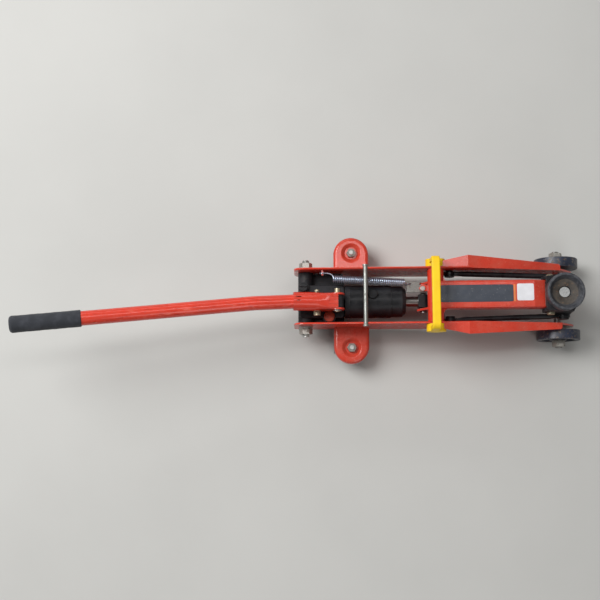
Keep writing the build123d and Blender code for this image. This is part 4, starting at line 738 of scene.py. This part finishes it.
class JACK_OT_return_spring(bpy.types.Operator):
    """Wind the return spring in three pieces between chassis and arm."""

    bl_idname = "jack.return_spring"
    bl_label = "Return Spring"

    def execute(self, context):
        s = context.scene.jack_spring
        wire_sides = 12
        rear_end, middle_end = 120.0, 160.0
        path, guide = spring_path(s.turns, s.coil / MM)
        wire = tube(place(path), guide, s.wire, wire_sides)
        first_cut = int(np.argmax(path[:, 0] > rear_end))
        second_cut = int(np.argmax(path[:, 0] > middle_end))
        bright = plated("spring_zinc", (0.52, 0.58, 0.70), 0.24, 0.36, 0.10, share=0.85)
        # Name, first ring, end ring, and the stations that would keep to the chassis and to the
        # arm, which the loop does not use.
        spans = (
            ("spring_rear_turns", 0, first_cut + 1, 40.0, 360.0),
            ("spring_middle_turns", first_cut, second_cut + 1, 74.0, 257.0),
            ("spring_front_turns", second_cut, len(path), 145.0, 177.0),
        )
        for name, begin, end, still, moved in spans:
            piece = add_piece(name, [closed_grid(wire[begin:end])], bright)
            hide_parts("return_spring")
            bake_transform(piece)
        return {"FINISHED"}


class JACK_OT_split_pin(bpy.types.Operator):
    """Bend the split pin: an eye on top, two legs through the plunger pin and splayed ends."""

    bl_idname = "jack.split_pin"
    bl_label = "Split Pin"

    def execute(self, context):
        station, left, middle = 36.0, 7.1, 87.0
        eye, gap, wire = 1.5, 0.45, 0.42
        eye_points, leg_points, wire_sides = 25, 20, 10
        half_opening = 0.80 * math.pi
        above, leg_length = 5.0, 10.6
        spread, straight, bent, curl = 2.4, 0.72, 0.28, 1.6
        bend = np.linspace(-half_opening, half_opening, eye_points)[::-1, None]
        eye_mid = middle + above + eye
        loop = np.concatenate(
            (station + eye * np.sin(bend), left + 0 * bend, eye_mid + eye * np.cos(bend)), axis=1
        )
        down = np.linspace(0, 1, leg_points)[:, None]
        height = middle + above - leg_length * down
        splay = gap + spread * np.clip((down - straight) / bent, 0, 1) ** curl
        leg_left = np.concatenate((station - splay, left + 0 * down, height), axis=1)
        leg_right = np.concatenate((station + splay, left + 0 * down, height), axis=1)
        path = np.concatenate((leg_right[::-1], loop, leg_left))
        guide = np.broadcast_to(np.array((0.0, 1.0, 0.0)), path.shape)
        wire_tube = tube(place(path), guide, wire * MM, wire_sides)
        zinc = frame["nodes"]["split_pin"].active_material
        piece = add_piece("bent_split_pin", [closed_grid(wire_tube)], zinc)
        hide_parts("split_pin")
        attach(piece, "yoke")
        return {"FINISHED"}


def threaded_bar(origin, direction, side, profile, threads, pitch):
    """Bar with V threads: its radius is the profile's, less a depth times the height of a zigzag.

    The zigzag runs once per pitch along the bar and shifts by one pitch in each turn round it. The
    profile is (length, radius) corners, threads are (start, end) lengths; all are in millimetres.
    """
    sides, steps_per_pitch = 40, 8
    depth, run_out = 0.58 * pitch, 0.3 * pitch
    corners = np.array(profile, float)
    bounds = np.concatenate((corners[:, 0], np.array(threads, float).ravel()))
    fine = [np.arange(start, end, pitch / steps_per_pitch) for start, end in threads]
    lengths = np.unique(np.round(np.concatenate([bounds] + fine), 4))
    shape = np.interp(lengths, corners[:, 0], corners[:, 1])[:, None]
    cut = np.zeros((len(lengths), 1))
    for start, end in threads:
        begins = np.clip((lengths - start) / pitch, 0, 1)
        ends = np.clip((end - lengths) / run_out, 0, 1)
        cut = np.maximum(cut, (begins * ends)[:, None])
    angle = np.linspace(0, 1, sides, endpoint=False)[None, :]
    wave = (lengths[:, None] / pitch - angle) % 1.0
    ridge = np.abs(2 * wave - 1)
    radii = shape - depth * cut * ridge
    return closed_grid(turned(place(origin), direction, side, lengths * MM, radii * MM))


class JACK_OT_threads(bpy.types.Operator):
    """Cut threads on the pump studs, the front axle and the caster bolts."""

    bl_idname = "jack.threads"
    bl_label = "Threads"

    def execute(self, context):
        d = context.scene.jack_detail
        coarse, fine = d.coarse_pitch / MM, d.fine_pitch / MM
        ahead, left, high = (1.0, 0.0, 0.0), (0.0, 1.0, 0.0), (0.0, 0.0, 1.0)
        stud_profile = ((0.0, 5.9), (0.1, 6.0), (35.6, 6.0), (37.0, 4.7))
        stud_threads = [(20.0, 37.0)]
        bolt_head = ((0.0, 6.6), (0.4, 7.0), (2.8, 7.0), (3.2, 6.6))
        bolt_profile = bolt_head + ((3.21, 4.0), (19.4, 4.0), (20.4, 3.1))
        bolt_threads = [(9.6, 20.4)]
        axle_profile = ((0.0, 4.8), (1.2, 6.0), (153.8, 6.0), (155.0, 4.8))
        axle_threads = [(0.2, 12.5), (142.5, 154.9)]
        studs, bolts = [], []
        for side in (1.0, -1.0):
            root, way = (18.5, side * 24.0, 58.0), (0.0, side, 0.0)
            studs.append(threaded_bar(root, way, ahead, stud_profile, stud_threads, coarse))
            root = (91.0, side * 76.0, 28.1)
            bolts.append(threaded_bar(root, high, ahead, bolt_profile, bolt_threads, fine))
        root = (420.0, -77.5, 34.0)
        axle = threaded_bar(root, left, ahead, axle_profile, axle_threads, coarse)
        for name, parts, node in (
            ("threaded_studs", studs, "pump_studs"),
            ("threaded_axle", [axle], "front_axle"),
            ("threaded_caster_bolts", bolts, "caster_bolts"),
        ):
            piece = add_piece(name, parts, frame["nodes"][node].active_material)
            sharpen(piece)
            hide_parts(node)
            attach(piece, "frame")
        return {"FINISHED"}


class JACK_OT_grip(bpy.types.Operator):
    """Shape the foam grip: a soft sleeve with a rounded closed end."""

    bl_idname = "jack.grip"
    bl_label = "Foam Grip"

    def execute(self, context):
        yaw, pitch = math.radians(6.27), math.radians(10.5)
        flat = math.cos(pitch)
        way = np.array((-flat * math.cos(yaw), -flat * math.sin(yaw), math.sin(pitch)))
        low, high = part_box("handle_grip")
        # The sleeve's middle is the middle of the node's box.
        middle = (np.array(low) + np.array(high)) / 2
        length, radius, bore, tip = 103.0, 12.7, 11.02, 0.6
        lip_round, end_round, inset = 1.6, 5.0, 0.17
        lip_margin, end_margin = 3.0, 6.5
        lip_points, body_points, end_points, sides = 6, 60, 13, 48
        round_end = np.linspace(0, math.pi / 2, end_points)
        lip = np.linspace(0, math.pi / 2, lip_points)
        body = np.linspace(lip_margin, length - end_margin, body_points)
        # Two faint waves along the sleeve.
        soft = 0.10 * np.sin(body * 0.21) + 0.06 * np.sin(body * 0.53 + 1.0)
        lip_lengths = lip_round - lip_round * np.cos(lip)
        lip_radii = radius - lip_round + lip_round * np.sin(lip)
        end_lengths = length - end_round + end_round * np.sin(round_end)
        end_radii = radius - end_round + end_round * np.cos(round_end)
        lengths = np.concatenate(([0.0], lip_lengths, body, end_lengths, [length]))
        radii = np.concatenate(([bore], lip_radii, radius - inset + soft, end_radii, [tip]))
        rings = np.broadcast_to((radii * MM)[:, None], (len(radii), sides))
        start = middle - way * length * MM / 2
        sleeve = turned(start, way, (0.0, 0.0, 1.0) - way * way[2], lengths * MM, rings)
        grip_foam = frame["nodes"]["handle_grip"].active_material
        piece = add_piece("foam_grip_sleeve", [closed_grid(sleeve)], grip_foam)
        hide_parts("handle_grip")
        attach(piece, "handle")
        return {"FINISHED"}


def film_patch(start, end, middle_y, half_width, thickness, corner_power):
    """Thin film on the arm's flat top between two stations: rings of a rounded rectangle.

    A ring's point is (|cos a|^p, |sin a|^p) with their signs, times the half sizes and the ring's
    share; the outer rings fall to the arm, so the film has a soft edge.
    """
    # The arm's flat top runs straight between these two points.
    rear_station, rear_height = 218.28, 104.53
    front_station, front_height = 366.33, 112.995
    clearance, sides = 0.02, 96
    slope = math.atan2(front_height - rear_height, front_station - rear_station)
    along = np.array((math.cos(slope), 0.0, math.sin(slope)))
    out = np.array((-math.sin(slope), 0.0, math.cos(slope)))
    across = np.array((0.0, 1.0, 0.0))
    base = np.array((rear_station, middle_y, rear_height))
    middle = base + along * (((start + end) / 2 - base[0]) / math.cos(slope))
    half_length = (end - start) / 2 / math.cos(slope)
    share = np.array((1.0, 1.0, 0.996, 0.98, 0.6, 0.02))[:, None]
    rise = np.array((0.0, 0.55, 0.9, 1.0, 1.0, 1.0))[:, None]
    angle = np.linspace(0, 2 * math.pi, sides, endpoint=False)[None, :]
    x = share * half_length * np.sign(np.cos(angle)) * np.abs(np.cos(angle)) ** corner_power
    y = share * half_width * np.sign(np.sin(angle)) * np.abs(np.sin(angle)) ** corner_power
    height = clearance + thickness * rise + 0 * angle
    points = middle + x[..., None] * along + y[..., None] * across + height[..., None] * out
    return closed_grid(place(points))


class JACK_OT_stickers(bpy.types.Operator):
    """Lay the blank dark label, its orange end strip and the blank white sticker on the arm."""

    bl_idname = "jack.stickers"
    bl_label = "Blank Stickers"

    def execute(self, context):
        thickness = context.scene.jack_detail.film / MM
        label = tuple(context.scene.jack_colours.label)
        dark = printed_film("blank_label_film", label, 0.32, 0.5, 0.4)
        orange = printed_film("orange_strip_film", (0.78, 0.20, 0.05), 0.35, 0.5, 0.35)
        white = printed_film("white_paper", (0.80, 0.80, 0.83), 0.55, 0.7, 0.06)
        edge_angle = 60.0
        for name, start, end, middle_y, half_width, power, material in (
            ("blank_label", 224.0, 335.0, 0.9, 13.3, 0.10, dark),
            ("label_end_strip", 335.2, 338.4, 1.0, 13.1, 0.12, orange),
            ("blank_sticker", 340.4, 365.8, 2.1, 13.0, 0.16, white),
        ):
            film = film_patch(start, end, middle_y, half_width, thickness, power)
            piece = add_piece(name, [film], material)
            sharpen(piece, edge_angle)
            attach(piece, "arm")
        return {"FINISHED"}


# Each lamp's name, its place and size in metres, and its share of the lamp power.
LAMPS = (
    ("key_lamp", (-1.5, 0.8, 2.2), (1.5, 1.5), 0.88),
    ("left_strip", (0.0, 2.4, 1.3), (2.6, 0.3), 0.09),
    ("upper_strip", (0.0, 0.44, 2.2), (1.8, 0.20), 0.08),
    ("fill_lamp", (0.9, -1.7, 1.8), (1.2, 1.2), 0.11),
)
SKY_COLOUR = (1.0, 0.99, 0.97, 1.0)
FLOOR_HALF = 6.0
CAMERA_PLACE = (0.0005, -0.2093, 1.6001)
# Degrees about X, Y and Z, in this order.
CAMERA_TURNS = ((7.67, "X"), (0.38, "Y"), (-0.24, "Z"))


class JACK_OT_stage(bpy.types.Operator):
    """Set up a plain pale floor, soft light and the camera above the jack."""

    bl_idname = "jack.stage"
    bl_label = "Stage"

    def execute(self, context):
        s = context.scene.jack_stage
        scene = context.scene
        f = Finish("pale_floor")
        pale = tuple(s.floor)
        tone = f.blend(f.span(f.noise(3.0, 6.0), 0.3, 0.7), pale, shade(pale, 0.95))
        f.set(Base_Color=tone, Roughness=0.85)
        half = FLOOR_HALF
        corners = [(-half, -half, 0.0), (half, -half, 0.0), (half, half, 0.0), (-half, half, 0.0)]
        mesh = bpy.data.meshes.new("floor")
        mesh.from_pydata(corners, [], [(0, 1, 2, 3)])
        mesh.materials.append(f.material)
        floor = bpy.data.objects.new("floor", mesh)
        scene.collection.objects.link(floor)

        world = bpy.data.worlds.new("soft_sky")
        world.use_nodes = True
        sky = world.node_tree.nodes["Background"]
        sky.inputs["Color"].default_value = SKY_COLOUR
        sky.inputs["Strength"].default_value = s.world
        scene.world = world
        for name, spot, size, share in LAMPS:
            data = bpy.data.lights.new(name, "AREA")
            data.shape = "RECTANGLE"
            data.size, data.size_y = size
            data.energy = s.lamp * share
            lamp = bpy.data.objects.new(name, data)
            lamp.location = spot
            lamp.rotation_euler = Vector(spot).to_track_quat("Z", "Y").to_euler()
            scene.collection.objects.link(lamp)

        data = bpy.data.cameras.new("camera")
        data.sensor_width = 36.0
        data.lens = s.lens
        camera = bpy.data.objects.new("camera", data)
        turn = Matrix.Identity(4)
        for degrees, axis in CAMERA_TURNS:
            turn = turn @ Matrix.Rotation(math.radians(degrees), 4, axis)
        camera.matrix_world = Matrix.Translation(CAMERA_PLACE) @ turn
        scene.collection.objects.link(camera)
        scene.camera = camera
        scene.view_settings.view_transform = "Standard"
        return {"FINISHED"}


OPERATORS = (
    JACK_OT_finishes,
    JACK_OT_return_spring,
    JACK_OT_split_pin,
    JACK_OT_threads,
    JACK_OT_grip,
    JACK_OT_stickers,
    JACK_OT_stage,
)


class JACK_PT_panel(bpy.types.Panel):
    """List the steps that dress the jack."""

    bl_idname = "JACK_PT_panel"
    bl_label = "Trolley Jack"
    bl_space_type = "VIEW_3D"
    bl_region_type = "UI"
    bl_category = "Jack"

    def draw(self, context):
        for operator in OPERATORS:
            self.layout.operator(operator.bl_idname)
        for group in ("jack_colours", "jack_spring", "jack_detail", "jack_stage"):
            settings = getattr(context.scene, group)
            for name in settings.__annotations__:
                self.layout.prop(settings, name)


GROUPS = (JackColours, JackSpring, JackDetail, JackStage)


def register():
    """Register the classes and hang the settings on the scene."""
    for item in GROUPS + OPERATORS + (JACK_PT_panel,):
        bpy.utils.register_class(item)
    bpy.types.Scene.jack_colours = PointerProperty(type=JackColours)
    bpy.types.Scene.jack_spring = PointerProperty(type=JackSpring)
    bpy.types.Scene.jack_detail = PointerProperty(type=JackDetail)
    bpy.types.Scene.jack_stage = PointerProperty(type=JackStage)


def unregister():
    """Take the settings and the classes away again."""
    del bpy.types.Scene.jack_stage
    del bpy.types.Scene.jack_detail
    del bpy.types.Scene.jack_spring
    del bpy.types.Scene.jack_colours
    for item in reversed(GROUPS + OPERATORS + (JACK_PT_panel,)):
        bpy.utils.unregister_class(item)


def main():
    """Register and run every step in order."""
    register()
    bpy.ops.jack.finishes()
    bpy.ops.jack.return_spring()
    bpy.ops.jack.split_pin()
    bpy.ops.jack.threads()
    bpy.ops.jack.grip()
    bpy.ops.jack.stickers()
    bpy.ops.jack.stage()


if __name__ == "__main__":
    main()
